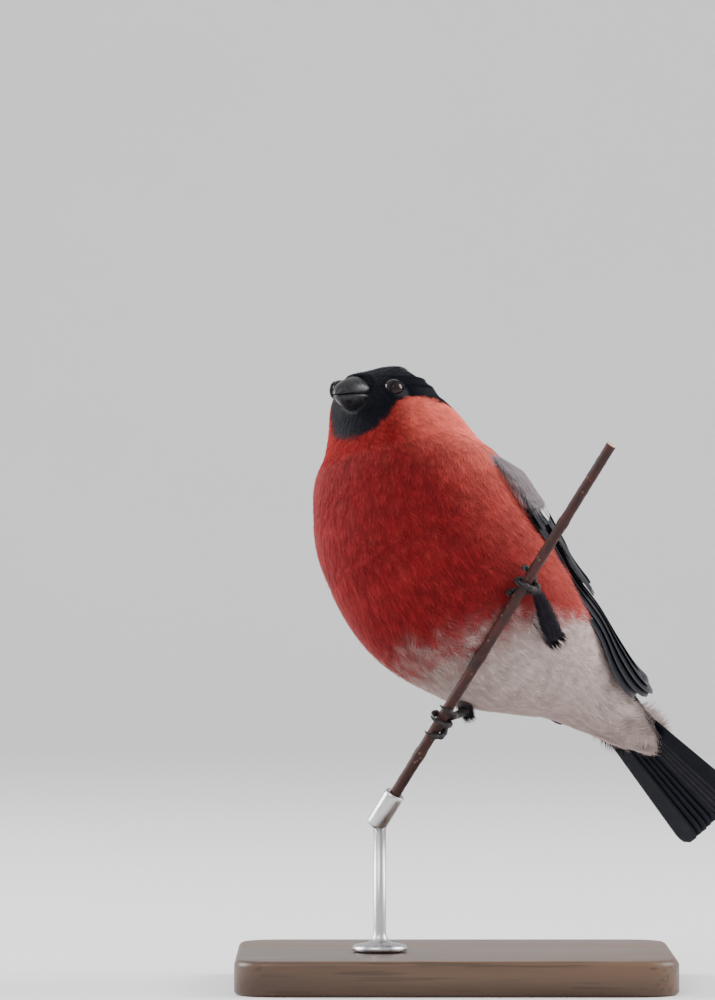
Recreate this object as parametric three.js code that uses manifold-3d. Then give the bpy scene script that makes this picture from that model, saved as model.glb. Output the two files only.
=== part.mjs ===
// A life-size male Eurasian bullfinch, fluffed up on a steep cut twig that a small display stand holds.
// Units are millimetres, +Z is up, and the origin is the centre of the stand base's underside.
// Shapes are worked out in the bird's own frame (x forward, y to its left, z to its back) and then posed.
import * as THREE from "three";
import { mergeVertices } from "three/addons/utils/BufferGeometryUtils.js";
import Module from "manifold-3d";

const wasm = await Module();
wasm.setup();

// Driving dimensions of the pose: the bird's axis rises steeply and its left side is rolled up.
const HEADING_DEG = 204.4;
const PITCH_DEG = 47.3;
const ROLL_DEG = 31.5;
const BIRD_ORIGIN = new THREE.Vector3(-2.5, 0, 108.5);

// The gap that neighbouring pieces keep, and the thickness of a flight feather.
const GAP = 0.3;
const VANE_THICK = 0.5;
const LAYER = VANE_THICK + GAP;

// Stations of the plumage form from vent to crown: place of the spine in the bird's frame, half width,
// and the heights above and below the spine as shares of the half width.
const BODY_STATIONS = [
  { at: [-78, 0, 16.5], half: 2.5, above: 0.55, below: 0.6 },
  { at: [-71, 0, 14.8], half: 7, above: 0.5, below: 0.62 },
  { at: [-61, 0, 12.2], half: 9.6, above: 0.66, below: 0.85 },
  { at: [-49, 0, 10], half: 14, above: 0.78, below: 0.88 },
  { at: [-36, 0, 6], half: 20.3, above: 0.84, below: 0.9 },
  { at: [-20, 0, 0.8], half: 26.2, above: 0.92, below: 0.95 },
  { at: [-4, 0, -1.2], half: 29, above: 0.94, below: 1 },
  { at: [11, 0, 3], half: 28.2, above: 0.93, below: 1.02 },
  { at: [22, 0.2, 8.7], half: 24.4, above: 0.88, below: 1.02 },
  { at: [29.4, 0.9, 13.8], half: 19.7, above: 0.86, below: 1 },
  { at: [36.1, 1.2, 18.3], half: 15.6, above: 0.86, below: 0.95 },
  { at: [40.6, 2, 21.8], half: 13, above: 0.92, below: 0.97 },
  { at: [43.4, 2.9, 24.1], half: 9.9, above: 0.98, below: 0.97 },
  { at: [45, 3.5, 25.5], half: 5.6, above: 1, below: 0.97 },
  { at: [45.7, 3.6, 26], half: 0.9, above: 1, below: 1 },
];
const TAIL_FROM_X = -62;
const NECK_FROM_X = 27;
const HEAD_FROM_X = 34.5;

// Head: frame turned to the bird's left and flexed level, and the features placed in it.
const HEAD_CENTRE = [40.4, 2.1, 21.1];
const HEAD_FORWARD = [0.68, 0.114, -0.725];
const HEAD_UP = [0.659, 0.339, 0.672];
const EYE = { forward: 6.9, side: 9.1, up: 0.6, globe: 2.7, lidAhead: 1.9, lidTube: 0.45 };
const BILL = { base: 9.6, length: 10.5, halfWidth: 4.5, depthUp: 4.7, depthDown: 4.3, drop: 1.4 };

// Folded wing: wrist at the breast side, tip over the tail base; v is the arc from the mid-back line.
const WING_FRONT_X = 25;
const WING_TIP_X = -65;
const WING_ROW = 8;
// Each tier of wing feathers: how many, the x of roots and of the outer and inner tips, the share of the
// wing's width from the outer to the inner shaft, and the heights of root and tip above the underside.
const WING_TIERS = [
  { count: 6, root: 3, tips: [-33, -33], shares: [0.7, 0.34], heights: [1.7, 2.1] },
  { count: 3, root: 3, tips: [-36, -25], shares: [0.26, 0.08], heights: [1.9, 2.3] },
  { count: 8, root: 9, tips: [-4.5, -8.5], shares: [0.88, 0.1], heights: [2.4, 4] },
  { count: 7, root: 17, tips: [6, 3], shares: [0.86, 0.12], heights: [2.2, 4.6] },
  { count: 4, root: 12, tips: [-10, -7], shares: [0.97, 0.82], heights: [1.6, 2.2] },
];
const PRIMARY_TIPS = [-42.5, -46, -50, -54, -59, -63.5, -65, -63.5, -60];
const PRIMARY_TIP_SHARES = [0.1, 0.12, 0.15, 0.2, 0.26, 0.35, 0.48, 0.66, 0.86];

// Tail: twelve rectrices, closed.
const RECTRICES = 12;
const TAIL_TILT = 0.38;
const TAIL_TIP_X = -109;

// Perch twig and stand.
const TWIG_RADIUS = 1.45;
const GRIP_LEFT = [17.2, -28.5, 103];
const GRIP_RIGHT = [-3.8, -16.5, 68.5];
const TWIG_BEYOND_LEFT = 43;
const TWIG_BEYOND_RIGHT = 27;
const BASE = { width: 112, depth: 86, thick: 9, corner: 10, bevel: 1.2 };
const ROD_RADIUS = 1.6;

const vec = (a) => new THREE.Vector3(a[0], a[1], a[2]);
const rad = THREE.MathUtils.degToRad;
const lerp = THREE.MathUtils.lerp;

// Bird frame to world.
const forward = new THREE.Vector3(
  Math.cos(rad(PITCH_DEG)) * Math.cos(rad(HEADING_DEG)),
  Math.cos(rad(PITCH_DEG)) * Math.sin(rad(HEADING_DEG)),
  Math.sin(rad(PITCH_DEG)),
);
const levelLeft = new THREE.Vector3(-Math.sin(rad(HEADING_DEG)), Math.cos(rad(HEADING_DEG)), 0);
const levelUp = forward.clone().cross(levelLeft);
const left = levelLeft.clone().multiplyScalar(Math.cos(rad(ROLL_DEG)));
left.addScaledVector(levelUp, Math.sin(rad(ROLL_DEG)));
const dorsal = forward.clone().cross(left);
const pose = new THREE.Matrix4().makeBasis(forward, left, dorsal).setPosition(BIRD_ORIGIN);
const unpose = pose.clone().invert();
const toBird = (a) => vec(a).applyMatrix4(unpose);

// Monotone cubic through (knots, values).
function smooth(knots, values) {
  const last = knots.length - 1;
  const rise = values.slice(1).map((v, i) => (v - values[i]) / (knots[i + 1] - knots[i]));
  const slope = values.map((_, i) => {
    if (i === 0) return rise[0];
    if (i === last) return rise[last - 1];
    return rise[i - 1] * rise[i] <= 0 ? 0 : (2 * rise[i - 1] * rise[i]) / (rise[i - 1] + rise[i]);
  });
  return (at) => {
    let i = 0;
    while (i < last - 1 && at > knots[i + 1]) i += 1;
    const step = knots[i + 1] - knots[i];
    const t = THREE.MathUtils.clamp((at - knots[i]) / step, 0, 1);
    const a = values[i] * (2 * t ** 3 - 3 * t ** 2 + 1) + values[i + 1] * (3 * t ** 2 - 2 * t ** 3);
    return a + step * (slope[i] * (t ** 3 - 2 * t ** 2 + t) + slope[i + 1] * (t ** 3 - t ** 2));
  };
}

// The plumage form: a spine with elliptic sections whose upper and lower halves differ.
const spineKnots = BODY_STATIONS.map(() => 0);
for (let i = 1; i < BODY_STATIONS.length; i += 1) {
  const step = vec(BODY_STATIONS[i].at).distanceTo(vec(BODY_STATIONS[i - 1].at));
  spineKnots[i] = spineKnots[i - 1] + step;
}
const SPINE_LENGTH = spineKnots[spineKnots.length - 1];
const spineAxis = [0, 1, 2].map((k) => smooth(spineKnots, BODY_STATIONS.map((s) => s.at[k])));
const halfWidth = smooth(spineKnots, BODY_STATIONS.map((s) => s.half));
const shareAbove = smooth(spineKnots, BODY_STATIONS.map((s) => s.above));
const shareBelow = smooth(spineKnots, BODY_STATIONS.map((s) => s.below));
const spineAt = (s) => new THREE.Vector3(spineAxis[0](s), spineAxis[1](s), spineAxis[2](s));

function section(s) {
  const reach = 0.5;
  const from = spineAt(Math.max(0, s - reach));
  const along = spineAt(Math.min(SPINE_LENGTH, s + reach)).sub(from).normalize();
  const up = new THREE.Vector3(0, 0, 1).addScaledVector(along, -along.z).normalize();
  return { centre: spineAt(s), up, side: up.clone().cross(along) };
}

// A point on the form: angle 0 is the mid-back, positive to the bird's left; lift is outward.
function bodyPoint(s, angle, lift = 0) {
  const { centre, up, side } = section(s);
  const half = halfWidth(s);
  const share = Math.cos(angle) > 0 ? shareAbove(s) : shareBelow(s);
  centre.addScaledVector(side, (half + lift) * Math.sin(angle));
  return centre.addScaledVector(up, (half * share + lift) * Math.cos(angle));
}

// The spine length at a given x of the bird's frame.
function spineAtX(x) {
  let low = 0;
  let high = SPINE_LENGTH;
  for (let i = 0; i < 40; i += 1) {
    const mid = (low + high) / 2;
    if (spineAxis[0](mid) < x) low = mid;
    else high = mid;
  }
  return (low + high) / 2;
}

// Turns vertices and triangles into a manifold solid, facing out.
function solidFrom(points, triangles) {
  const geometry = new THREE.BufferGeometry().setFromPoints(points);
  geometry.setIndex(triangles.flat());
  return solidOf(geometry);
}

function solidOf(geometry) {
  const bare = geometry.clone();
  bare.deleteAttribute("normal");
  bare.deleteAttribute("uv");
  const merged = mergeVertices(bare, 1e-4);
  const vertProperties = new Float32Array(merged.attributes.position.array);
  const triVerts = new Uint32Array(merged.index.array);
  const make = () => new wasm.Manifold(new wasm.Mesh({ numProp: 3, vertProperties, triVerts }));
  const made = make();
  if (made.volume() > 0) return made;
  for (let i = 0; i < triVerts.length; i += 3) {
    [triVerts[i + 1], triVerts[i + 2]] = [triVerts[i + 2], triVerts[i + 1]];
  }
  return make();
}

const join = (pieces) => pieces.reduce((whole, piece) => whole.add(piece));

// Keeps the largest closed surface, which drops scraps and fills sealed hollows.
function largest(solid) {
  return solid.decompose().sort((a, b) => b.volume() - a.volume())[0];
}

// Closed solid through rings of equal count, with a fan over each end.
function ringSolid(rings) {
  const count = rings[0].length;
  const points = rings.flat();
  const triangles = [];
  for (let i = 0; i + 1 < rings.length; i += 1) {
    for (let j = 0; j < count; j += 1) {
      const next = (j + 1) % count;
      const [a, b] = [i * count + j, i * count + next];
      triangles.push([a, b, b + count], [a, b + count, a + count]);
    }
  }
  for (const [ring, first, turn] of [[rings[0], 0, 1], [rings.at(-1), points.length - count, 0]]) {
    const middle = ring.reduce((sum, p) => sum.add(p), new THREE.Vector3()).divideScalar(count);
    points.push(middle);
    const hub = points.length - 1;
    for (let j = 0; j < count; j += 1) {
      const edge = [first + j, first + ((j + 1) % count)];
      triangles.push(turn ? [hub, edge[1], edge[0]] : [hub, edge[0], edge[1]]);
    }
  }
  return solidFrom(points, triangles);
}

// Closed solid between two grids of points, split into triangles alike on both faces.
function plateSolid(top, bottom) {
  const rows = top.length;
  const columns = top[0].length;
  const half = rows * columns;
  const at = (i, j) => i * columns + j;
  const triangles = [];
  for (let i = 0; i + 1 < rows; i += 1) {
    for (let j = 0; j + 1 < columns; j += 1) {
      const [a, b, c, d] = [at(i, j), at(i + 1, j), at(i + 1, j + 1), at(i, j + 1)];
      triangles.push([a, b, c], [a, c, d], [a + half, c + half, b + half], [a + half, d + half, c + half]);
    }
  }
  const rim = [];
  for (let i = 0; i < rows; i += 1) rim.push(at(i, 0));
  for (let j = 1; j < columns; j += 1) rim.push(at(rows - 1, j));
  for (let i = rows - 2; i >= 0; i -= 1) rim.push(at(i, columns - 1));
  for (let j = columns - 2; j >= 1; j -= 1) rim.push(at(0, j));
  rim.forEach((a, k) => {
    const b = rim[(k + 1) % rim.length];
    triangles.push([a, b + half, b], [a, a + half, b + half]);
  });
  return solidFrom([...top.flat(), ...bottom.flat()], triangles);
}

// A tube of round sections along points, with its own radius at each.
function tube(points, radii, sides = 8) {
  let across = new THREE.Vector3(0.31, 0.27, 0.91);
  const rings = points.map((p, i) => {
    const along = points[Math.min(i + 1, points.length - 1)].clone();
    along.sub(points[Math.max(i - 1, 0)]).normalize();
    across = across.clone().addScaledVector(along, -across.dot(along)).normalize();
    const other = along.clone().cross(across);
    return Array.from({ length: sides }, (_, j) => {
      const angle = (j / sides) * 2 * Math.PI;
      const spot = p.clone().addScaledVector(across, radii[i] * Math.cos(angle));
      return spot.addScaledVector(other, radii[i] * Math.sin(angle));
    });
  });
  return ringSolid(rings);
}

// Seeded variation between like feathers, from -1 to 1.
let seed = 7;
function vary() {
  seed = (seed * 16807) % 2147483647;
  return (seed / 2147483647) * 2 - 1;
}

// A length of the plumage form between two spine lengths, lifted outward if asked.
function formBetween(from, to, ringCount, sides, lift = 0) {
  const rings = Array.from({ length: ringCount }, (_, i) => {
    const s = lerp(from, to, i / (ringCount - 1));
    return Array.from({ length: sides }, (_, j) => bodyPoint(s, (j / sides) * 2 * Math.PI, lift));
  });
  return ringSolid(rings);
}

// Folded wing, on the plumage form. Heights are measured outward from it at the underside of the wing.
const wingUnder = smooth([-66, -55, -42, -20, 15, 27], [2.4, 0.6, -1.2, -3.8, -3.6, -1.8]);
const wingOuter = smooth([-66, -60, -50, -35, -20, -5, 10, 26], [14, 19.5, 24.5, 30, 36, 39, 37, 29]);
const wingInner = smooth([-66, -60, -50, -35, -20, -5, 10, 26], [7.5, 6.5, 6, 6.5, 9, 13, 15.5, 18]);
const radiusAtX = (x) => {
  const s = spineAtX(x);
  return halfWidth(s) * (0.5 + 0.5 * shareAbove(s));
};

// A point of the wing: arc v from the mid-back line and height above the wing's underside.
function wingPoint(sign, x, v, height) {
  const angle = v / (radiusAtX(x) + wingUnder(x) + 2);
  return bodyPoint(spineAtX(x), sign * angle, wingUnder(x) + height);
}

function wingSlab(sign, xs, columns, inner, outer, low, high) {
  const grid = (height) =>
    xs.map((x) =>
      Array.from({ length: columns }, (_, j) => {
        const v = lerp(inner(x), outer(x), j / (columns - 1));
        return wingPoint(sign, x, v, height(x, j / (columns - 1)));
      }),
    );
  return plateSolid(grid(high), grid(low));
}

const steps = (from, to, count) => Array.from({ length: count }, (_, i) => lerp(from, to, i / (count - 1)));

// The wing's whole space, which the torso leaves free.
function wingRoom(sign) {
  const xs = [WING_FRONT_X + 1.3, ...steps(WING_FRONT_X, WING_TIP_X, 19), WING_TIP_X - 1];
  const inner = (x) => wingInner(x) - 1.3;
  const outer = (x) => wingOuter(x) + 0.8;
  return wingSlab(sign, xs, 9, inner, outer, () => -GAP - 0.3, () => 9);
}

// One vane along rows of x: its shaft runs at a share of the wing's width, and its outer edge is lifted.
function wingVane(sign, feather) {
  const { root, tip, share, tipShare, pitch, heights } = feather;
  const rows = [root];
  for (let x = WING_ROW * Math.floor((root - 2) / WING_ROW); x > tip + 5; x -= WING_ROW) rows.push(x);
  rows.push(tip + 3.2, tip + 1.1, tip);
  const grid = rows.map((x) => {
    const t = (root - x) / (root - tip);
    const room = wingOuter(x) - wingInner(x);
    const half = 0.64 * pitch * room * Math.min(1, 0.75 + 2 * t) * roundTip(x - tip);
    const middle = wingInner(x) + room * lerp(share, tipShare, t ** 1.5);
    const outer = Math.min(middle + half, wingOuter(x));
    const height = lerp(heights[0], heights[1], Math.min(1, 2.5 * t));
    const lift = (LAYER / (pitch * room)) * 2 * half;
    const edges = [[outer - 2 * half, height], [outer, height + lift]];
    return { x, edges, thick: lerp(VANE_THICK, 0.3, t ** 4) };
  });
  const face = (raise) => grid.map(({ x, edges, thick }) =>
    edges.map(([v, height]) => wingPoint(sign, x, v, height + (raise ? thick : 0))));
  return plateSolid(face(true), face(false));
}

// The width share of a rounded feather tip at a distance from its end.
const roundTip = (distance) => (distance > 4 ? 1 : Math.max(0.22, Math.sqrt(1 - (1 - distance / 4) ** 2)));

function wing(sign) {
  const coreXs = [25, 21, 16, 8, 0, -3];
  const coreTop = smooth([-3, 0, 8, 16, 21, 25], [2.7, 3, 3.5, 3.4, 2.6, 1.1]);
  const pieces = [wingSlab(sign, coreXs, 7, wingInner, wingOuter, () => 0, (x) => coreTop(x))];
  PRIMARY_TIPS.forEach((tip, i) => {
    const share = 0.13 + 0.1 * i;
    const tipShare = PRIMARY_TIP_SHARES[i];
    const primary = { root: 0, tip: tip + 0.5 * vary(), share, tipShare, pitch: 0.105, heights: [0.3, 0.2] };
    pieces.push(wingVane(sign, primary));
  });
  for (const tier of WING_TIERS) {
    const pitch = (tier.shares[0] - tier.shares[1]) / (tier.count - 1);
    for (let i = 0; i < tier.count; i += 1) {
      const t = i / (tier.count - 1);
      const share = lerp(tier.shares[0], tier.shares[1], t);
      const tip = lerp(tier.tips[0], tier.tips[1], t) + 0.5 * vary();
      const feather = { root: tier.root, tip, share, tipShare: share, pitch, heights: tier.heights };
      pieces.push(wingVane(sign, feather));
    }
  }
  return largest(join(pieces));
}

// Tail: the covert mass at its root, and the rectrices, each tilted so that its edge lies on the next.
function tail() {
  const pieces = [formBetween(0, spineAtX(TAIL_FROM_X) - GAP / 2, 6, 20)];
  for (let i = 0; i < RECTRICES; i += 1) {
    const side = i % 2 ? -1 : 1;
    const rank = Math.floor(i / 2);
    const tip = TAIL_TIP_X + 2.2 * (1 - rank / 5) + 0.4 * vary();
    const rows = [-66, -78, -90, -100, tip + 3.2, tip + 1.1, tip].map((x) => {
      const t = (x + 66) / (TAIL_TIP_X + 66);
      const pitch = lerp(0.95, 2.1, t);
      const half = 0.95 * pitch * roundTip(x - tip);
      const middle = pitch * (rank + 0.5);
      const level = lerp(13.4, 18, t) - 0.55 * t * (rank / 5) ** 2 + 0.06 * side;
      const thick = lerp(VANE_THICK, 0.3, t ** 4);
      const lift = TAIL_TILT * 2 * half;
      return [0, thick].map((raise) => [
        new THREE.Vector3(x, side * (middle - half + (rank ? 0 : 0.22)), level + raise),
        new THREE.Vector3(x, side * (middle + half), level + lift + raise),
      ]);
    });
    pieces.push(plateSolid(rows.map((row) => row[1]), rows.map((row) => row[0])));
  }
  return largest(join(pieces));
}

// Head frame.
const headForward = vec(HEAD_FORWARD).normalize();
const headUp = vec(HEAD_UP).addScaledVector(headForward, -vec(HEAD_UP).dot(headForward)).normalize();
const headLeft = headUp.clone().cross(headForward);
function headPoint(ahead, side, up) {
  const p = vec(HEAD_CENTRE).addScaledVector(headForward, ahead);
  return p.addScaledVector(headLeft, side).addScaledVector(headUp, up);
}

function eyeCentre(sign) {
  return headPoint(EYE.forward, sign * EYE.side, EYE.up);
}

const eyeAxis = (sign) => headLeft.clone().multiplyScalar(sign * 0.93).addScaledVector(headForward, 0.37);

function sphere(centre, radius, across = 14, high = 10) {
  const geometry = new THREE.SphereGeometry(radius, across, high);
  return solidOf(geometry.translate(centre.x, centre.y, centre.z));
}

// One half of the bill: sections from base to tip, flat where the mandibles meet.
function mandible(upper) {
  const sign = upper ? 1 : -1;
  const depth = upper ? BILL.depthUp : BILL.depthDown;
  const length = upper ? BILL.length : BILL.length - 0.9;
  const profile = smooth([0, 0.25, 0.5, 0.75, 0.92, 1], [1, 0.97, 0.84, 0.6, 0.33, 0.08]);
  const rings = [0, 0.12, 0.3, 0.5, 0.68, 0.82, 0.93, 1].map((t) => {
    const meet = sign * (GAP / 2) - BILL.drop - 0.9 * t ** 3;
    const points = [];
    for (let j = 0; j <= 8; j += 1) {
      const angle = (j / 8) * Math.PI;
      const side = BILL.halfWidth * profile(t) * Math.cos(angle);
      const up = meet + sign * depth * profile(t) * Math.sin(angle);
      points.push(headPoint(BILL.base + length * t, side, up));
    }
    return points;
  });
  return ringSolid(rings);
}

// The room the bill's base takes in the head.
function billRoom() {
  const rings = [BILL.base - GAP, BILL.base + 4, BILL.base + 9].map((ahead) =>
    Array.from({ length: 16 }, (_, j) => {
      const angle = (j / 16) * 2 * Math.PI;
      const deep = (Math.sin(angle) > 0 ? BILL.depthUp : BILL.depthDown) + 2 * GAP;
      return headPoint(ahead, (BILL.halfWidth + GAP) * Math.cos(angle), deep * Math.sin(angle) - BILL.drop);
    }),
  );
  return ringSolid(rings);
}

function head() {
  const from = spineAtX(HEAD_FROM_X) + GAP / 2;
  let made = formBetween(from, SPINE_LENGTH, 13, 32);
  for (const sign of [1, -1]) {
    const lids = new THREE.TorusGeometry(EYE.globe * 0.72 + GAP + EYE.lidTube + 0.1, EYE.lidTube, 6, 18);
    const turn = new THREE.Quaternion().setFromUnitVectors(new THREE.Vector3(0, 0, 1), eyeAxis(sign));
    lids.applyQuaternion(turn);
    const spot = eyeCentre(sign).addScaledVector(eyeAxis(sign), EYE.lidAhead);
    made = made.add(solidOf(lids.translate(spot.x, spot.y, spot.z)));
    made = made.subtract(sphere(eyeCentre(sign), EYE.globe + GAP, 12, 8));
  }
  return largest(made.subtract(billRoom()));
}

function upperBill() {
  let made = mandible(true);
  for (const sign of [1, -1]) {
    made = made.subtract(sphere(headPoint(BILL.base + 3.2, sign * 3.2, 2.2), 0.65, 8, 6));
  }
  return largest(made);
}

// Legs and feet. A leg is a feathered shank down to the heel and the scaled tarsus below it.
const gripLeft = toBird(GRIP_LEFT);
const gripRight = toBird(GRIP_RIGHT);
const twigAlong = gripLeft.clone().sub(gripRight).normalize();
const HEEL = { left: [-25.5, 24.5, -15.5], right: [-31, -8.5, -21.5] };
const KNEE = { left: [-14, 17, -8], right: [-17, -12, -8] };

function footFrame(grip, heel) {
  const out = heel.clone().sub(grip);
  out.addScaledVector(twigAlong, -out.dot(twigAlong)).normalize();
  return { out, round: twigAlong.clone().cross(out) };
}

function wrap(grip, frame, radius, angle, slide) {
  const p = grip.clone().addScaledVector(twigAlong, slide);
  p.addScaledVector(frame.out, radius * Math.cos(angle));
  return p.addScaledVector(frame.round, radius * Math.sin(angle));
}

function leg(name, grip) {
  const heel = vec(HEEL[name]);
  const knee = vec(KNEE[name]);
  const foot = wrap(grip, footFrame(grip, heel), TWIG_RADIUS + GAP + 4.1, 0, 0);
  const between = (from, to, shares) => shares.map((t) => from.clone().lerp(to, t));
  const shank = tube(between(knee, heel, [0, 0.35, 0.7, 1]), [6.5, 5.2, 3, 1.5], 12);
  const tarsus = tube(between(heel, foot, [-0.04, 0.12, 0.5, 0.9, 1]), [1.3, 1.35, 1, 0.95, 1.1], 8);
  return shank.add(tarsus);
}

function foot(name, grip, turn) {
  const heel = vec(HEEL[name]);
  const frame = footFrame(grip, heel);
  const toeRadius = 0.85;
  const hold = TWIG_RADIUS + GAP + toeRadius + 0.05;
  const toes = [
    { turn, slide: 2.6, sweep: 3.3, lean: 1.4 },
    { turn, slide: 0, sweep: 3.7, lean: 0 },
    { turn, slide: -2.6, sweep: 3.2, lean: -1.4 },
    { turn: -turn, slide: 0.2, sweep: 2.5, lean: 0.5 },
  ];
  const pad = wrap(grip, frame, hold + 1.1, 0, 0);
  const pieces = [sphere(pad, 1.5, 10, 8)];
  for (const toe of toes) {
    const count = 8;
    const points = steps(0, 1, count).map((t) => {
      const angle = toe.turn * toe.sweep * t;
      const slide = toe.slide * Math.min(1, t * 3) + toe.lean * t;
      return wrap(grip, frame, hold + 0.9 * Math.exp(-5 * t), angle, slide);
    });
    const slimmed = (t) => (t < 0.72 ? 1 - 0.12 * t : 0.95 - 2.4 * (t - 0.72));
    const radii = steps(0, 1, count).map((t) => toeRadius * slimmed(t));
    pieces.push(tube(points, radii, 6));
  }
  return largest(join(pieces));
}

// Perch: a cut twig with small nodes.
const twigRise = vec(GRIP_LEFT).sub(vec(GRIP_RIGHT)).normalize();
const twigLow = vec(GRIP_RIGHT).addScaledVector(twigRise, -TWIG_BEYOND_RIGHT);

function perch() {
  const length = vec(GRIP_LEFT).distanceTo(vec(GRIP_RIGHT)) + TWIG_BEYOND_LEFT + TWIG_BEYOND_RIGHT;
  const nodes = [{ at: 16, rise: 0.35 }, { at: 47, rise: 0.3 }, { at: 88, rise: 0.4 }];
  const spots = [0, 8, 14.5, 16, 18, 30, 42, 45.5, 47, 49, 60, 72, 84, 87, 88, 90.5, 100, length];
  const radii = spots.map((spot) => {
    const swell = nodes.reduce((sum, n) => sum + n.rise * Math.exp(-(((spot - n.at) / 1.3) ** 2)), 0);
    return TWIG_RADIUS * (1 - 0.0009 * spot) + swell * 0.6;
  });
  return tube(spots.map((spot) => twigLow.clone().addScaledVector(twigRise, spot)), radii, 12);
}

function standBase() {
  const shape = new THREE.Shape();
  const [w, d, r] = [BASE.width / 2 - BASE.bevel, BASE.depth / 2 - BASE.bevel, BASE.corner];
  shape.moveTo(-w + r, -d);
  shape.lineTo(w - r, -d);
  shape.absarc(w - r, -d + r, r, -Math.PI / 2, 0);
  shape.absarc(w - r, d - r, r, 0, Math.PI / 2);
  shape.absarc(-w + r, d - r, r, Math.PI / 2, Math.PI);
  shape.absarc(-w + r, -d + r, r, Math.PI, 1.5 * Math.PI);
  const geometry = new THREE.ExtrudeGeometry(shape, {
    depth: BASE.thick - 2 * BASE.bevel,
    bevelThickness: BASE.bevel,
    bevelSize: BASE.bevel,
    bevelSegments: 2,
    curveSegments: 4,
  });
  return solidOf(geometry.translate(0, 0, BASE.bevel));
}

// The rod rises from a round foot on the base to a sleeve that holds the twig's lower end.
function standRod() {
  const low = BASE.thick + GAP;
  const holder = twigLow.clone().addScaledVector(twigRise, -4);
  const rise = holder.z - low;
  const foot = [[0, 0], [7, 0], [7, 1.2], [6, 2], [2.6, 2.6]];
  const profile = [...foot, [ROD_RADIUS, 4], [ROD_RADIUS, rise], [0, rise]];
  const rod = new THREE.LatheGeometry(profile.map(([x, y]) => new THREE.Vector2(x, y)), 16);
  rod.rotateX(Math.PI / 2).translate(holder.x, holder.y, low);
  const alongTwig = (shares) => shares.map((t) => holder.clone().addScaledVector(twigRise, t));
  const sleeve = tube(alongTwig([-2.4, -1.6, 7, 8]), [2, 2.7, 2.7, 2.3], 16);
  const bore = tube(alongTwig([3.6, 12]), [2, 2], 16);
  return largest(solidOf(rod).add(sleeve).subtract(bore));
}

// Materials by colour, roughness and metalness.
const paint = (color, roughness, metalness = 0) => new THREE.MeshStandardMaterial({ color, roughness, metalness });
const RED = paint(0xc04a3c, 0.85);
const BLACK = paint(0x15161c, 0.55);
const HORN = paint(0x1a1818, 0.4);
const SHANK = paint(0x2a211e, 0.6);
const EYE_GLOSS = paint(0x0a0706, 0.08);
const BARK = paint(0x6b4038, 0.8);
const STEEL = paint(0xb9bcc0, 0.35, 1);
const PLINTH = paint(0x2c2a28, 0.45);

const model = new THREE.Group();
const bird = new THREE.Group();
bird.applyMatrix4(pose);
model.add(bird);

function place(group, name, solid, material) {
  const { numProp, vertProperties, triVerts } = solid.getMesh();
  const geometry = new THREE.BufferGeometry();
  const position = new THREE.BufferAttribute(new Float32Array(vertProperties), numProp);
  geometry.setAttribute("position", position).setIndex(new THREE.BufferAttribute(triVerts, 1));
  geometry.computeVertexNormals();
  const mesh = new THREE.Mesh(geometry, material);
  mesh.name = name;
  group.add(mesh);
}

const torsoFrom = spineAtX(TAIL_FROM_X) + GAP / 2;
const torsoTo = spineAtX(NECK_FROM_X) - GAP / 2;
const roomFrom = gripRight.clone().addScaledVector(twigAlong, -9);
const roomTo = gripLeft.clone().addScaledVector(twigAlong, 20);
const twigRoom = tube([roomFrom, roomTo], [2, 2]);
const torso = [wingRoom(1), wingRoom(-1), twigRoom].reduce(
  (solid, room) => solid.subtract(room),
  formBetween(torsoFrom, torsoTo, 24, 36),
);
const neckFrom = spineAtX(NECK_FROM_X) + GAP / 2;
const neckTo = spineAtX(HEAD_FROM_X) - GAP / 2;
const cover = formBetween(spineAtX(-70), spineAtX(26), 22, 36, GAP);

place(bird, "torso", largest(torso), RED);
place(bird, "neck", formBetween(neckFrom, neckTo, 4, 32), RED);
place(bird, "head", head(), BLACK);
place(bird, "bill_upper", upperBill(), HORN);
place(bird, "bill_lower", mandible(false), HORN);
place(bird, "tail", tail(), BLACK);
for (const [name, sign, grip, turn] of [["left", 1, gripLeft, 1], ["right", -1, gripRight, -1]]) {
  place(bird, `eye_${name}`, sphere(eyeCentre(sign), EYE.globe, 14, 10), EYE_GLOSS);
  place(bird, `wing_${name}`, wing(sign), BLACK);
  place(bird, `leg_${name}`, largest(leg(name, grip).subtract(cover)), SHANK);
  place(bird, `foot_${name}`, foot(name, grip, turn), SHANK);
}
place(model, "perch_twig", perch(), BARK);
place(model, "stand_rod", standRod(), STEEL);
place(model, "stand_base", standBase(), PLINTH);

export default model;
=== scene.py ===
"""A life-size male bullfinch on a cut twig and a display stand, with its plumage and finishes.

Shapes are worked out in millimetres in the bird's own frame (x forward, y to its left, z to its back),
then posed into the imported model's frame in metres.
"""

import math

import bpy
import numpy as np
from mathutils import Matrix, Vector


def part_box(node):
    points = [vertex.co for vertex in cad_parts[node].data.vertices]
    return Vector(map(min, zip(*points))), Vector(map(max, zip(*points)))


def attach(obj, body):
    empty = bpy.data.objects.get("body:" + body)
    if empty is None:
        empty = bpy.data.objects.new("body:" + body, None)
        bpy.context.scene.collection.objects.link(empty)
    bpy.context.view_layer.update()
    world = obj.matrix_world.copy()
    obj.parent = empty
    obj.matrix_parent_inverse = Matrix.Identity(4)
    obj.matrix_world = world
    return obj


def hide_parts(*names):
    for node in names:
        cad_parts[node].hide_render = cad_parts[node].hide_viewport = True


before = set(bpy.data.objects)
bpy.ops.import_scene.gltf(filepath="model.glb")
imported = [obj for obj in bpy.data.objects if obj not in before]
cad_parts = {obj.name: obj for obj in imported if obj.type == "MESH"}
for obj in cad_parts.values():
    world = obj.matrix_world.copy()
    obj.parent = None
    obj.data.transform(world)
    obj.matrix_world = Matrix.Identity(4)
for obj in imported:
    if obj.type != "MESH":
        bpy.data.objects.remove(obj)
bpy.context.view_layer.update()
random = np.random.default_rng(11)

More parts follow.
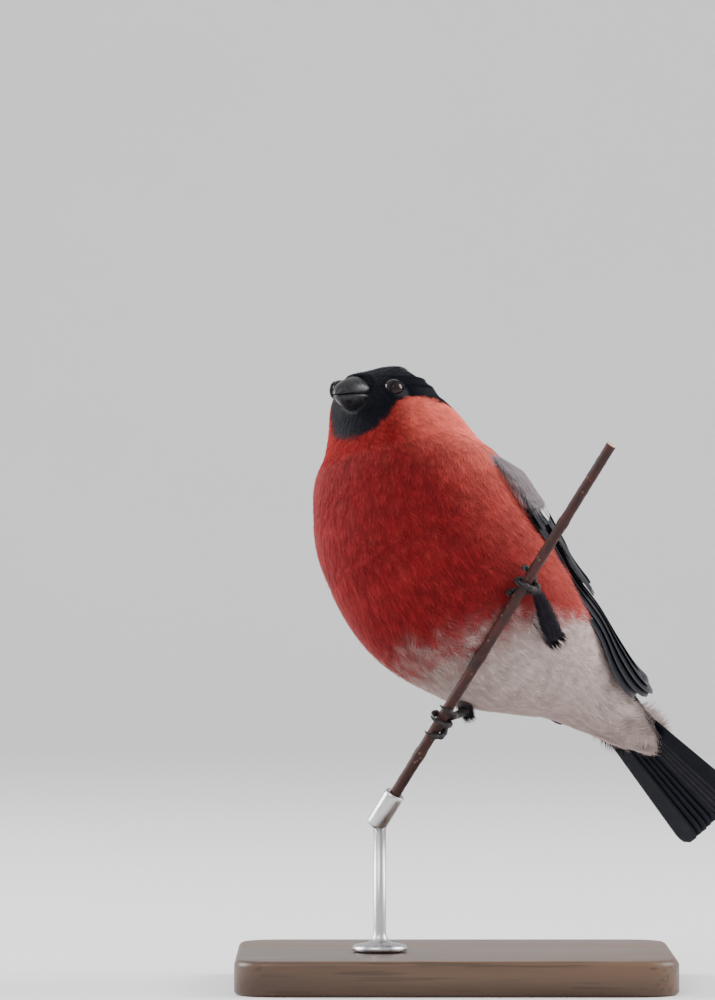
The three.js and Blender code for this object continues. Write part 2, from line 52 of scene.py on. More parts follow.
# Picture size, the place of the bird's origin in it and its scale, in pixels.
PICTURE_WIDTH = 715
PICTURE_HEIGHT = 1000
BIRD_PIXEL_X = 445.0
BIRD_PIXEL_Y = 562.0
PIXELS_PER_MM = 3.9

# Pose of the bird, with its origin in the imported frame's millimetres.
HEADING_DEG = 204.4
PITCH_DEG = 47.3
ROLL_DEG = 31.5
BIRD_ORIGIN = np.array([-2.5, 0.0, 108.5])

# Stations of the plumage form, vent to crown: spine x, y, z, half width, share above, share below.
BODY_STATIONS = np.array([
    [-78, 0, 16.5, 2.5, 0.55, 0.6],
    [-71, 0, 14.8, 7, 0.5, 0.62],
    [-61, 0, 12.2, 9.6, 0.66, 0.85],
    [-49, 0, 10, 14, 0.78, 0.88],
    [-36, 0, 6, 20.3, 0.84, 0.9],
    [-20, 0, 0.8, 26.2, 0.92, 0.95],
    [-4, 0, -1.2, 29, 0.94, 1],
    [11, 0, 3, 28.2, 0.93, 1.02],
    [22, 0.2, 8.7, 24.4, 0.88, 1.02],
    [29.4, 0.9, 13.8, 19.7, 0.86, 1],
    [36.1, 1.2, 18.3, 15.6, 0.86, 0.95],
    [40.6, 2, 21.8, 13, 0.92, 0.97],
    [43.4, 2.9, 24.1, 9.9, 0.98, 0.97],
    [45, 3.5, 25.5, 5.6, 1, 0.97],
    [45.7, 3.6, 26, 0.9, 1, 1],
])

# Head frame, and the eye and bill in it.
HEAD_CENTRE = np.array([40.4, 2.1, 21.1])
HEAD_FORWARD = np.array([0.68, 0.114, -0.725])
HEAD_UP = np.array([0.659, 0.339, 0.672])
EYE_AHEAD = 6.9
EYE_SIDE = 8.5
EYE_UP = 0.6
EYE_RADIUS = 2.7
LID_THICK = 0.26
BILL_BASE = 9.6
BILL_LENGTH = 10.5
LOWER_BILL_SHORTER = 0.9
BILL_HALF = 4.5
BILL_UP = 4.7
BILL_DOWN = 4.3
BILL_DROP = 1.4
NOSTRIL_AHEAD = 3.1
NOSTRIL_SIDE = 3.3
NOSTRIL_UP = 2.0
NOSTRIL_RADIUS = 0.6
NOSTRIL_DEPTH = 0.55

# Wing and tail feathers. Primaries run from the innermost to the outermost.
PRIMARY_ROOT_X = 4
PRIMARY_TIPS = [-42.5, -46, -50, -54, -59, -63.5, -65, -63.5, -60]
PRIMARY_TIP_SHARES = [0.1, 0.12, 0.15, 0.22, 0.32, 0.44, 0.57, 0.7, 0.82]
VANE_THICK = 0.26
VANE_CAMBER = 0.12
VANE_TILT = 0.14
TAIL_FEATHERS = 12
TAIL_ROOT_X = -60
TAIL_TIP_X = -109.0
TAIL_NOTCH = 2.2
TAIL_HALF_VANE = 3.4
MAP_COLUMNS = 9

# Body plumes: their length along the bird, the least stretch of the form that they follow, their rise
# over the wing's front, their size on the map, and how their colour and length vary.
PLUME_KNOTS = [-78, -62, -45, -20, 5, 22, 30, 36, 41, 46]
PLUME_LENGTHS = [6, 11, 10.5, 9, 8, 7, 4.6, 3.0, 2.2, 1.9]
TIGHTEST_BEND = 0.15
SHOULDER_RISE = 1.7
PATCH = 0.003
BORDER_WOBBLE = 0.45
TONE_SPREAD = 0.07
ROOT_TONE = 0.72
TONE_RISE = 0.34
FULL_LENGTH_FROM_BILL = 14.0

# Legs, feet and twig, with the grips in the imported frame's millimetres.
TWIG_RADIUS = 1.45
TWIG_BEYOND_LEFT = 43.0
TWIG_BEYOND_RIGHT = 27.0
GRIP = {"left": np.array([17.2, -28.5, 103.0]), "right": np.array([-3.8, -16.5, 68.5])}
HEEL = {"left": np.array([-25.5, 24.5, -15.5]), "right": np.array([-31.0, -8.5, -21.5])}
KNEE = {"left": np.array([-14.0, 17.0, -8.0]), "right": np.array([-17.0, -12.0, -8.0])}
CLOTHED_SHARE = {"left": 0.78, "right": 0.04}
FOOT_OUT = TWIG_RADIUS + 2.2
TOE_OUT = TWIG_RADIUS + 0.82
TOE_RADIUS = 0.84
CLAW_RADIUS = 0.52

# Stand.
ROD_RADIUS = 1.6
FLANGE_RADIUS = 7
SLEEVE_BELOW_END = 4
BASE_CORNER = 10.0
BASE_BEVEL = 1.6
BASE_CHAMFER = 0.8

# Plumage colours, linear.
CRIMSON = np.array([0.19, 0.0045, 0.0072])
# The red's lighter tone: partly the paler salmon of the plumage, partly painted light on the sides, neck
# and cheeks.
SALMON_AND_PAINTED_LIGHT = np.array([0.88, 0.16, 0.115])
ASH = np.array([0.18, 0.15, 0.16])
JET = np.array([0.003, 0.004, 0.0085])
CREAM = np.array([0.5, 0.395, 0.365])
BAR = np.array([0.62, 0.56, 0.56])
TROUSER = np.array([0.018, 0.016, 0.022])

FULL_TURN = 2 * math.pi


def unit(v):
    return v / np.linalg.norm(v, axis=-1, keepdims=True)


def dot(a, b):
    return np.einsum("ik,ik->i", a, b)


def smooth(knots, values):
    """Monotone cubic through (knots, values), as a function of arrays."""
    knots, values = np.asarray(knots, float), np.asarray(values, float)
    rise = np.diff(values) / np.diff(knots)
    slope = np.concatenate([rise[:1], np.zeros(len(rise) - 1), rise[-1:]])
    for i in range(1, len(rise)):
        product = rise[i - 1] * rise[i]
        slope[i] = 0 if product <= 0 else 2 * product / (rise[i - 1] + rise[i])

    def at(x):
        x = np.asarray(x, float)
        i = np.clip(np.searchsorted(knots, x) - 1, 0, len(knots) - 2)
        step = knots[i + 1] - knots[i]
        t = np.clip((x - knots[i]) / step, 0, 1)
        low = values[i] * (2 * t**3 - 3 * t**2 + 1) + values[i + 1] * (3 * t**2 - 2 * t**3)
        return low + step * (slope[i] * (t**3 - 2 * t**2 + t) + slope[i + 1] * (t**3 - t**2))

    return at


def wrapped(angle):
    """The same angle between minus and plus half a turn."""
    return np.arctan2(np.sin(angle), np.cos(angle))


def ramp(x, low, high):
    """Eases from 0 at low to 1 at high."""
    t = np.clip((np.asarray(x, float) - low) / (high - low), 0, 1)
    return t * t * (3 - 2 * t)


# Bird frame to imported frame.
heading, pitch, roll = np.radians([HEADING_DEG, PITCH_DEG, ROLL_DEG])
forward = np.array([
    math.cos(pitch) * math.cos(heading),
    math.cos(pitch) * math.sin(heading),
    math.sin(pitch),
])
level_left = np.array([-math.sin(heading), math.cos(heading), 0])
left = level_left * math.cos(roll) + np.cross(forward, level_left) * math.sin(roll)
POSE = np.stack([forward, left, np.cross(forward, left)])


def posed(points):
    """Bird-frame millimetres to packed-frame metres."""
    return (points @ POSE + BIRD_ORIGIN) * 0.001


def to_bird(points):
    """Packed-frame millimetres to bird-frame millimetres."""
    return (points - BIRD_ORIGIN) @ POSE.T


# The plumage form: an oval section carried along the spine.
spine_steps = np.linalg.norm(np.diff(BODY_STATIONS[:, :3], axis=0), axis=1)
spine_knots = np.concatenate([[0], np.cumsum(spine_steps)])
SPINE = spine_knots[-1]
table_s = np.linspace(0, SPINE, 1600)
kernel = np.exp(-(np.linspace(-2.5, 2.5, 101) ** 2))
kernel = kernel / kernel.sum()


def softened(column):
    """A station column along the spine, with its curvature evened out between vent and head."""
    exact = smooth(spine_knots, BODY_STATIONS[:, column])(table_s)
    even = np.convolve(np.pad(exact, len(kernel) // 2, mode="edge"), kernel, mode="valid")
    share = ramp(table_s, 4, 12) * (1 - ramp(table_s, SPINE - 26, SPINE - 16))
    values = exact * (1 - share) + even * share
    return lambda s: np.interp(s, table_s, values)


spine_axes = [softened(column) for column in range(3)]
half_width, share_above, share_below = (softened(column) for column in (3, 4, 5))
table_x = spine_axes[0](table_s)


def spine_at(s):
    return np.stack([axis(s) for axis in spine_axes], -1)


def spine_at_x(x):
    return np.interp(x, table_x, table_s)


def body_point(s, angle, lift=0.0):
    """A point of the form: angle 0 is the mid-back, positive to the bird's left, lift outward."""
    s, angle, lift = np.broadcast_arrays(np.asarray(s, float), angle, lift)
    s = np.clip(s, 0, SPINE)
    along = unit(spine_at(np.minimum(s + 0.5, SPINE)) - spine_at(np.maximum(s - 0.5, 0)))
    up = unit(np.array([0, 0, 1.0]) - along * along[..., 2:3])
    side = np.cross(up, along)
    half = half_width(s)
    share = np.where(np.cos(angle) > 0, share_above(s), share_below(s))
    across = ((half + lift) * np.sin(angle))[..., None]
    high = ((half * share + lift) * np.cos(angle))[..., None]
    return spine_at(s) + side * across + up * high


head_forward = unit(HEAD_FORWARD)
head_up = unit(HEAD_UP - head_forward * (HEAD_UP @ head_forward))
head_left = np.cross(head_up, head_forward)


def head_point(ahead, side, up):
    ahead, side, up = np.broadcast_arrays(ahead, side, up)
    offset = ahead[..., None] * head_forward + side[..., None] * head_left
    return HEAD_CENTRE + offset + up[..., None] * head_up


def in_head(points):
    """Places of points ahead, to the left and up in the head's frame."""
    offset = points - HEAD_CENTRE
    return offset @ head_forward, offset @ head_left, offset @ head_up


# Wing surface on the form: its height over it, and its lower and upper edge around the body.
WING_KNOTS = [-66, -60, -50, -35, -20, -5, 10, 26]
wing_under = smooth([-66, -55, -42, -20, 15, 27], [2.4, 0.6, -1.2, -3.8, -3.6, -1.8])
wing_outer = smooth(WING_KNOTS, [14, 19.5, 24.5, 30, 36, 39, 37, 29])
wing_inner = smooth(WING_KNOTS, [7.5, 6.5, 6, 6.5, 9, 13, 15.5, 18])
left_droop = smooth(WING_KNOTS[:6], [3.4, 3.4, 3.2, 2, 0.4, 0])


def wing_radius(x):
    """Radius of the wing surface's bend around the body."""
    s = spine_at_x(x)
    return half_width(s) * (0.5 + 0.5 * share_above(s)) + wing_under(x) + 2


def wing_point(sign, x, v, height):
    """A point of the wing surface, v millimetres around the body from the mid-back."""
    return body_point(spine_at_x(x), sign * (v / wing_radius(x)), wing_under(x) + height)


def wing_edge(sign, x):
    """Lower edge of a folded wing; the left tip hangs further over the flank."""
    return wing_outer(x) + left_droop(x) * (np.asarray(sign) > 0)


def over_wing(s, angle):
    """How far inside the wing's footprint a place of the form lies, 0 outside and 1 well inside."""
    x = spine_axes[0](s)
    v = np.abs(angle) * wing_radius(x)
    inside = np.minimum(v - wing_inner(x), wing_edge(angle, x) - v)
    return np.minimum(ramp(inside, -0.5, 1.0), ramp(x, -66, -63) * (1 - ramp(x, 23, 25)))


# Borders of the markings: black mask, grey mantle and white vent.
mask_edge = smooth(
    [0, 15, 28, 38, 46, 57, 78, 127, 180], [-11.6, -11, -9.2, -6.4, -3.4, -1.6, -0.8, -0.9, -3]
)
grey_edge = smooth([-32, -20, 5, 15, 24, 30, 36], [34, 46, 70, 68, 60, 48, 30])
vent_edge = smooth([0, 60, 90, 110, 130, 180], [-34, -34, -30, -19, -10, -6])


def markings(s, angle, points, wobble):
    """Colour and gloss of the plumage at places of the form; wobble frays the borders."""
    x = spine_axes[0](s)
    degrees = np.degrees(np.abs(wrapped(angle)))
    ahead, side, up = in_head(points)
    azimuth = np.degrees(np.abs(np.arctan2(side, ahead)))
    is_head = s > spine_at_x(29)
    black = ramp(up - mask_edge(azimuth) + 0.5 * wobble, -0.35, 0.35) * is_head
    grey = ramp(grey_edge(x) - degrees + 3 * wobble, -3, 3) * ramp(x, -46, -40) * (1 - ramp(x, 35, 37))
    grey = np.maximum(grey, over_wing(s, angle) * ramp(x + 2 * wobble, 0, 3))
    pale = 1 - ramp(x - vent_edge(degrees) + 3 * wobble, -6, 6)
    coverts = (1 - ramp(x + 1.5 * wobble, -48.5, -46.5)) * (1 - ramp(degrees, 72, 80))
    # The red is painted lighter towards the neck, the sides and the cheeks. This is partly the paler
    # salmon of the plumage and partly painted light, where light wraps round the bird's edges and over
    # its upper parts.
    lift = 0.2 * ramp(x, 24, 44) + ramp(132 - degrees, 0, 58) * (0.34 + 0.5 * ramp(x, 4, 36))
    cheek_tone_and_light = ramp(azimuth, 36, 66) * ramp(x, 24, 33) * ramp(150 - degrees, 0, 25)
    lift = np.clip(lift + 0.55 * cheek_tone_and_light + 0.06 * wobble, 0, 1)[..., None]
    colour = CRIMSON * (1 - lift) + SALMON_AND_PAINTED_LIGHT * lift
    for mask, tone in ((grey, ASH), (pale, CREAM), (coverts, JET), (black, JET)):
        colour = colour * (1 - mask[..., None]) + tone * mask[..., None]
    return colour, np.maximum(black, coverts)


def add_object(name, data):
    made = bpy.data.objects.new(name, data)
    bpy.context.scene.collection.objects.link(made)
    return made


# Meshes. A part is a tuple of points in the bird's frame, triangles and map places.
def piece(name, part, material, slot, *nodes, colours=None, normals=None):
    """A piece from a part, with the OFBake map, the plumage colours and the nodes it replaces."""
    points, triangles, uvs = part
    mesh = bpy.data.meshes.new(name)
    triangles = np.asarray(triangles, np.int32).reshape(-1, 3)
    mesh.vertices.add(len(points))
    mesh.vertices.foreach_set("co", posed(points).astype(np.float32).ravel())
    mesh.loops.add(triangles.size)
    mesh.loops.foreach_set("vertex_index", triangles.ravel())
    mesh.polygons.add(len(triangles))
    mesh.polygons.foreach_set("loop_start", np.arange(0, triangles.size, 3, dtype=np.int32))
    mesh.polygons.foreach_set("use_smooth", np.full(len(triangles), True))
    mesh.update(calc_edges=True)
    if colours is not None:
        layer = mesh.color_attributes.new("plumage", "FLOAT_COLOR", "POINT")
        layer.data.foreach_set("color", np.asarray(colours, np.float32).ravel())
    layer = mesh.uv_layers.new(name="OFBake")
    layer.data.foreach_set("uv", np.asarray(uvs, np.float32)[triangles.ravel()].ravel())
    mesh.validate()
    if normals is not None:
        mesh.normals_split_custom_set_from_vertices(unit(normals @ POSE).astype(np.float32))
    made = add_object(name, mesh)
    mesh.materials.append(material)
    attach(made, "root")
    if nodes:
        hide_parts(*nodes)
    return made


def outward(points, triangles):
    """The triangles of a closed surface, turned to face outward."""
    a, b, c = (points[triangles[:, k]] for k in range(3))
    if np.einsum("ij,ij->i", a, np.cross(b, c)).sum() < 0:
        return triangles[:, ::-1]
    return triangles


def ring_part(rings):
    """A part through an array of rings (rings, sides, 3), closed by a fan at each end."""
    rings = np.asarray(rings)
    count, sides = rings.shape[:2]
    i, j = np.meshgrid(np.arange(count - 1), np.arange(sides), indexing="ij")
    a, b = (i * sides + j).ravel(), (i * sides + (j + 1) % sides).ravel()
    triangles = [np.stack([a, b, b + sides], 1), np.stack([a, b + sides, a + sides], 1)]
    hubs = np.stack([rings[0].mean(0), rings[-1].mean(0)])
    start, k = count * sides, np.arange(sides)
    last = (count - 1) * sides
    triangles.append(np.stack([np.full(sides, start), (k + 1) % sides, k], 1))
    triangles.append(np.stack([np.full(sides, start + 1), last + k, last + (k + 1) % sides], 1))
    uv = np.stack(np.meshgrid(np.linspace(0, 1, count), np.arange(sides) / sides, indexing="ij"), -1)
    uv = np.concatenate([uv.reshape(-1, 2), [[0, 0.5], [1, 0.5]]])
    points = np.concatenate([rings.reshape(-1, 3), hubs])
    return points, outward(points, np.concatenate(triangles)), uv


def hoop_part(rings):
    """A part through rings whose last one joins the first."""
    count, sides = rings.shape[:2]
    i, j = np.meshgrid(np.arange(count), np.arange(sides), indexing="ij")
    a, b = i * sides + j, i * sides + (j + 1) % sides
    c, d = ((i + 1) % count) * sides + (j + 1) % sides, ((i + 1) % count) * sides + j
    halves = [np.stack(corners, -1).reshape(-1, 3) for corners in ((a, b, c), (a, c, d))]
    points = rings.reshape(-1, 3)
    triangles = outward(points - points.mean(0), np.concatenate(halves))
    return points, triangles, np.stack([i / count, j / sides], -1).reshape(-1, 2)


def turned(sides):
    return np.linspace(0, FULL_TURN, sides, endpoint=False)


def tube_rings(points, radii, sides):
    points = np.asarray(points, float)
    along = unit(np.gradient(points, axis=0))
    across = np.array([0.31, 0.27, 0.91])
    rings = []
    turn = turned(sides)[:, None]
    for point, direction, radius in zip(points, along, np.broadcast_to(radii, len(points))):
        across = unit(across - direction * (across @ direction))
        other = np.cross(direction, across)
        rings.append(point + radius * (across * np.cos(turn) + other * np.sin(turn)))
    return np.array(rings)


def joined(parts):
    """Joins parts into one."""
    offset, points, triangles, uvs = 0, [], [], []
    for part_points, part_triangles, part_uv in parts:
        points.append(part_points)
        triangles.append(part_triangles + offset)
        uvs.append(part_uv)
        offset += len(part_points)
    return np.concatenate(points), np.concatenate(triangles), np.concatenate(uvs)


# Materials.
class Nodes:
    """A node material under construction. Names of inputs have _ for their spaces."""

    def __init__(self, name):
        self.material = bpy.data.materials.new(name)
        self.material.use_nodes = True
        self.tree = self.material.node_tree
        self.surface = self.tree.nodes["Principled BSDF"]

    def feed(self, socket, value):
        if isinstance(value, bpy.types.NodeSocket):
            self.tree.links.new(value, socket)
        else:
            socket.default_value = value

    def add(self, kind, **inputs):
        made = self.tree.nodes.new(kind)
        for key, value in inputs.items():
            self.feed(made.inputs[key.replace("_", " ")], value)
        return made

    def shade(self, **inputs):
        for key, value in inputs.items():
            self.feed(self.surface.inputs[key.replace("_", " ")], value)
        return self.material

    def mix(self, share, first, second, kind="MIX"):
        made = self.tree.nodes.new("ShaderNodeMix")
        made.data_type = "RGBA"
        made.blend_type = kind
        for index, value in ((0, share), (6, first), (7, second)):
            self.feed(made.inputs[index], value)
        return made.outputs[2]

    def blend(self, share, dark, light):
        return self.mix(share, (*dark, 1.0), (*light, 1.0))

    def span(self, value, to_low, to_high, low=0.3, high=0.7):
        made = self.add("ShaderNodeMapRange", Value=value, From_Min=low, From_Max=high, To_Min=to_low,
                        To_Max=to_high)
        return made.outputs["Result"]

    def noise(self, scale, detail=3.0, stretch=None):
        place = self.add("ShaderNodeTexCoord").outputs["Object"]
        if stretch:
            place = self.add("ShaderNodeMapping", Vector=place, Scale=stretch).outputs[0]
        return self.add("ShaderNodeTexNoise", Vector=place, Scale=scale, Detail=detail).outputs["Fac"]

    def bump(self, height, strength, distance):
        made = self.add("ShaderNodeBump", Height=height, Strength=strength, Distance=distance)
        self.shade(Normal=made.outputs["Normal"])

    def plumage(self, tone):
        """Paints the surface with the plumage attribute made lighter and darker by tone."""
        attribute = self.add("ShaderNodeAttribute")
        attribute.attribute_name = "plumage"
        grey = self.add("ShaderNodeCombineColor", Red=tone, Green=tone, Blue=tone).outputs[0]
        self.shade(Base_Color=self.mix(1.0, attribute.outputs["Color"], grey, "MULTIPLY"))
        return attribute


def coat_material(name, specular, sheen):
    n = Nodes(name)
    attribute = n.plumage(n.span(n.noise(260.0, 4.0), 0.86, 1.14))
    roughness = n.span(attribute.outputs["Alpha"], 0.8, 0.5, 0, 1)
    n.shade(Roughness=roughness, Specular_IOR_Level=specular)
    return n.shade(Sheen_Weight=sheen, Sheen_Roughness=0.35, Sheen_Tint=(1.0, 0.72, 0.68, 1.0))


def vane_material():
    n = Nodes("flight_feathers")
    vane_map = n.add("ShaderNodeUVMap")
    vane_map.uv_map = "Vane"
    place = vane_map.outputs[0]
    barbs = n.add("ShaderNodeTexWave", Vector=place, Scale=9.0, Distortion=1.2).outputs["Fac"]
    n.plumage(n.span(barbs, 0.8, 1.15, 0, 1))
    n.bump(barbs, 0.35, 0.00008)
    roughness = n.span(n.noise(400.0), 0.38, 0.52)
    return n.shade(Roughness=roughness, Specular_IOR_Level=0.1, Coat_Weight=0.02, Coat_Roughness=0.3)


def skin_material():
    n = Nodes("skin_down")
    grain = n.noise(1400.0, 4.0)
    n.plumage(n.span(grain, 0.4, 0.8))
    n.bump(grain, 0.6, 0.0003)
    return n.shade(Roughness=0.85)


def horn_material(name, dark, light, roughness, grain_scale, depth, specular=0.3):
    n = Nodes(name)
    streak = n.noise(grain_scale, 5.0)
    n.bump(streak, 0.4, depth)
    n.shade(Roughness=n.span(streak, roughness, roughness + 0.14))
    colour = n.blend(n.span(streak, 0, 1, 0.35, 0.75), dark, light)
    return n.shade(Base_Color=colour, Specular_IOR_Level=specular)


def bark_material():
    n = Nodes("twig_bark")
    grain = n.noise(260.0, 6.0)
    place = n.add("ShaderNodeTexCoord").outputs["Object"]
    specks = n.add("ShaderNodeTexVoronoi", Vector=place, Scale=420.0).outputs["Distance"]
    base = n.blend(n.span(grain, 0, 1), (0.016, 0.006, 0.0055), (0.06, 0.019, 0.016))
    colour = n.mix(n.span(specks, 1, 0, 0.1, 0.18), base, (0.11, 0.055, 0.042, 1.0))
    n.bump(grain, 0.7, 0.0003)
    roughness = n.span(grain, 0.5, 0.75)
    return n.shade(Base_Color=colour, Roughness=roughness, Specular_IOR_Level=0.25)


def mottled_material(name, scale, dark, light, detail=3.0, **surface):
    """A material whose colour wanders between two."""
    n = Nodes(name)
    return n.shade(Base_Color=n.blend(n.noise(scale, detail), dark, light), **surface)


def base_material():
    n = Nodes("stained_wood")
    grain = n.noise(60.0, 8.0, (0.12, 1.0, 1.0))
    pores = n.noise(900.0, 3.0, (0.05, 1.0, 1.0))
    base = n.blend(n.span(grain, 0, 1, 0.35, 0.65), (0.05, 0.028, 0.018), (0.13, 0.075, 0.045))
    colour = n.mix(n.span(pores, 0, 0.5, 0.55, 0.65), base, (0.03, 0.018, 0.012, 1.0))
    n.bump(pores, 0.15, 0.0002)
    n.shade(Base_Color=colour, Roughness=n.span(grain, 0.34, 0.48))
    return n.shade(Specular_IOR_Level=0.3, Coat_Weight=0.08, Coat_Roughness=0.25)


def steel_material():
    n = Nodes("brushed_steel")
    brush = n.noise(700.0, 4.0, (1.0, 1.0, 0.04))
    colour = n.blend(brush, (0.42, 0.42, 0.43), (0.6, 0.6, 0.61))
    return n.shade(Base_Color=colour, Roughness=n.span(brush, 0.25, 0.42), Metallic=1.0)


COAT = coat_material("plumage_coat", 0.2, 0.2)
HEAD_COAT = coat_material("head_coat", 0.07, 0.0)
BILL_HORN = horn_material("bill_horn", (0.005, 0.005, 0.006), (0.026, 0.024, 0.027), 0.3, 900.0, 0.00012)
SHANK = horn_material("shank_scales", (0.008, 0.006, 0.007), (0.032, 0.022, 0.021), 0.5, 1100.0, 0.0001)
CLAW = horn_material("claw_horn", (0.008, 0.007, 0.007), (0.035, 0.028, 0.026), 0.25, 1200.0, 0.00005)
LID = horn_material("eyelid", (0.004, 0.004, 0.006), (0.014, 0.015, 0.019), 0.55, 1500.0, 0.0001, 0.08)
EYE = mottled_material(
    "eye", 800.0, (0.006, 0.003, 0.002), (0.018, 0.009, 0.006), 2.0,
    Roughness=0.08, Specular_IOR_Level=0.18, Coat_Weight=0.12, Coat_Roughness=0.02,
)
VANE = vane_material()
STEEL = steel_material()
CUT_WOOD = mottled_material("cut_wood", 1500.0, (0.5, 0.34, 0.2), (0.66, 0.5, 0.33), Roughness=0.75)
FLOOR = mottled_material("pale_floor", 8.0, (0.84, 0.83, 0.82), (0.88, 0.87, 0.86), Roughness=0.85)


# Skin: one surface from vent to crown, under the coat and under the wings.
def skin_lift(s, angle):
    """The skin's height over the form: below it by the coat's depth, and deeper under the wings."""
    x = spine_axes[0](s)
    depth = 0.5 + 0.9 * (1 - ramp(x, 30, 36))
    pocket = -wing_under(x) + 0.4
    return -depth - over_wing(s, angle) * np.maximum(pocket - depth, 0) * ramp(x, -66, -60)


def make_skin():
    s = SPINE * np.linspace(0, 1, 190) ** 0.98
    s, angle = np.meshgrid(s, turned(144), indexing="ij")
    angle = wrapped(angle)
    lift = np.maximum(skin_lift(s, angle), -0.7 * half_width(s))
    part = ring_part(body_point(s, angle, lift))
    flat_s = np.concatenate([s.ravel(), [0, SPINE]])
    flat_angle = np.concatenate([angle.ravel(), [0, 0]])
    colour, gloss = markings(flat_s, flat_angle, part[0], np.zeros(len(flat_s)))
    solids = ("torso", "neck", "head")
    piece("skin", part, skin_material(), "plumage_red", *solids, colours=np.c_[colour, gloss])


# Coat: each plume is a fan of solid barbs, set on the form and lying along it.
bill_root = head_point(BILL_BASE - 2.5, 0.0, -BILL_DROP)
plume_length = smooth(PLUME_KNOTS, PLUME_LENGTHS)


def directions(s, angle):
    """Derivatives of the form and its outward normal."""
    step, turn = 0.05, 0.01
    by_s = (body_point(s + step, angle) - body_point(s - step, angle)) / (2 * step)
    by_angle = (body_point(s, angle + turn) - body_point(s, angle - turn)) / (2 * turn)
    normal = unit(np.cross(by_angle, by_s))
    outwards = dot(normal, body_point(s, angle) - spine_at(s))
    return by_s, by_angle, normal * np.sign(outwards)[..., None]


def scatter(s_from, s_to, spacing):
    """Jittered staggered places on the form, closer where plumes are short."""
    jitter, row_pitch = 0.3, 0.8
    places_s, places_angle = [], []
    s, row = s_from, 0
    while s < s_to:
        pitch = spacing * float(plume_length(spine_axes[0](s)))
        count = max(5, int(round(FULL_TURN * float(half_width(s)) / pitch)))
        column = np.arange(count) + 0.5 * (row % 2) + random.uniform(-jitter, jitter, count)
        places_angle.append(column * 2 * math.pi / count)
        places_s.append(s + random.uniform(-jitter, jitter, count) * pitch)
        s += pitch * row_pitch
        row += 1
    s = np.clip(np.concatenate(places_s), 0.2, SPINE - 0.05)
    return s, wrapped(np.concatenate(places_angle))


def barb_pattern(strands):
    """Barbs of one plume in shaft lengths: root and tip (along, across) of each."""
    round_from = 0.8
    rows = []
    for t in np.linspace(0, 1, strands):
        if t < round_from:
            spread = math.sqrt(max(0.0, 1 - (1.35 * t - 0.3) ** 2))
        else:
            spread = 0.74 * (1 - (t - round_from) / (1 - round_from))
        for side in (-1, 1):
            rows.append((0.02 + 0.66 * t, side * 0.01, 0.42 + 0.58 * t, side * (0.34 * spread + 0.015)))
    return np.array(rows)


def barb_mesh(roots, tips, ups, widths):
    """Closed three-sided barbs from root to tip points, shaded much like the surface they lie on."""
    run = unit(tips - roots)
    across = unit(np.cross(ups, run))
    half = (widths * 0.5)[..., None]
    corners = [roots + across * half, roots - across * half, roots + ups * half * 0.9, tips]
    shading = [ups + 0.4 * across, ups - 0.4 * across, ups, ups + 0.15 * run]
    start = np.arange(roots.size // 3)[:, None, None] * 4
    triangles = (start + np.array([[0, 1, 2], [0, 3, 1], [1, 3, 2], [2, 3, 0]])).reshape(-1, 3)
    return np.stack(corners, -2).reshape(-1, 3), triangles, np.stack(shading, -2).reshape(-1, 3)


def plume_mesh(s, angle, length, flow, lifts, strands, barb_width, fray):
    """A part of plumes rooted at (s, angle), the places along them and their normals."""
    pattern = barb_pattern(strands)
    barbs, plumes = len(pattern), len(s)
    by_s, by_angle, normal = directions(s, angle)
    flow = unit(flow - normal * dot(flow, normal)[:, None])
    across = np.cross(normal, flow)
    spots = np.broadcast_to(pattern.reshape(barbs, 2, 2), (plumes, barbs, 2, 2)).copy()
    spots[:, :, 1] += random.normal(0, fray, (plumes, barbs, 2))
    share = np.clip(spots[..., 0], 0, 1.08)
    wide = (slice(None), None, None)
    ahead = share * length[wide]
    aside = spots[..., 1] * length[wide]
    low, high = (np.broadcast_to(lift, plumes)[wide] for lift in lifts)
    height = low + (high - low) * share**0.7
    height[..., 1] += random.normal(0, 0.07, (plumes, barbs))

    # Where the form is wide, barbs follow its curve.
    size_s = np.maximum(dot(by_s, by_s), TIGHTEST_BEND)
    size_angle = dot(by_angle, by_angle)
    step_s = ahead * (dot(flow, by_s) / size_s)[wide]
    step_s = step_s + aside * (dot(across, by_s) / size_s)[wide]
    step_angle = ahead * (dot(flow, by_angle) / size_angle)[wide]
    step_angle = step_angle + aside * (dot(across, by_angle) / size_angle)[wide]
    followed = body_point(s[wide] + step_s, angle[wide] + step_angle, height)

    # Near its ends they lie on a flat patch that bends down.
    bend_along = np.where(spine_axes[0](s) < 0, 90.0, 12.0)[wide]
    drop = ahead**2 / (2 * bend_along) + aside**2 / (2 * half_width(s)[wide])
    patch = body_point(s, angle)[wide] + flow[wide] * ahead[..., None]
    patch = patch + across[wide] * aside[..., None]
    patch = patch + normal[wide] * (height - drop)[..., None]
    follow = ramp(half_width(s), 9, 14)[:, None, None, None]
    points = patch * (1 - follow) + followed * follow

    ups = np.broadcast_to(normal[:, None], (plumes, barbs, 3))
    widths = np.broadcast_to(barb_width[:, None], (plumes, barbs))
    corners, triangles, shading = barb_mesh(points[:, :, 0], points[:, :, 1], ups, widths)
    along = np.stack([share[..., 0]] * 3 + [share[..., 1]], -1)
    sideways = np.stack([spots[..., 0, 1]] * 3 + [spots[..., 1, 1]], -1)
    place = PATCH * np.stack([along - 0.5, np.clip(sideways, -0.5, 0.5)], -1)
    centre = 0.01 + 0.98 * np.stack([s / SPINE, (angle % FULL_TURN) / FULL_TURN], -1)
    uv = centre[wide] + place
    return (corners, triangles, uv.reshape(-1, 2)), along.reshape(-1), shading


def plume_flow(s, angle, roots, near_bill):
    """The lie of the plumage: away from the bill on the head, then back along the body."""
    by_s, by_angle, _ = directions(s, angle)
    away = unit(roots - bill_root)
    turn = ramp(near_bill, 19, 29)[:, None]
    sideways = 0.1 * random.normal(0, 1, len(s))
    return away * (1 - turn) - unit(by_s) * turn + sideways[:, None] * unit(by_angle)


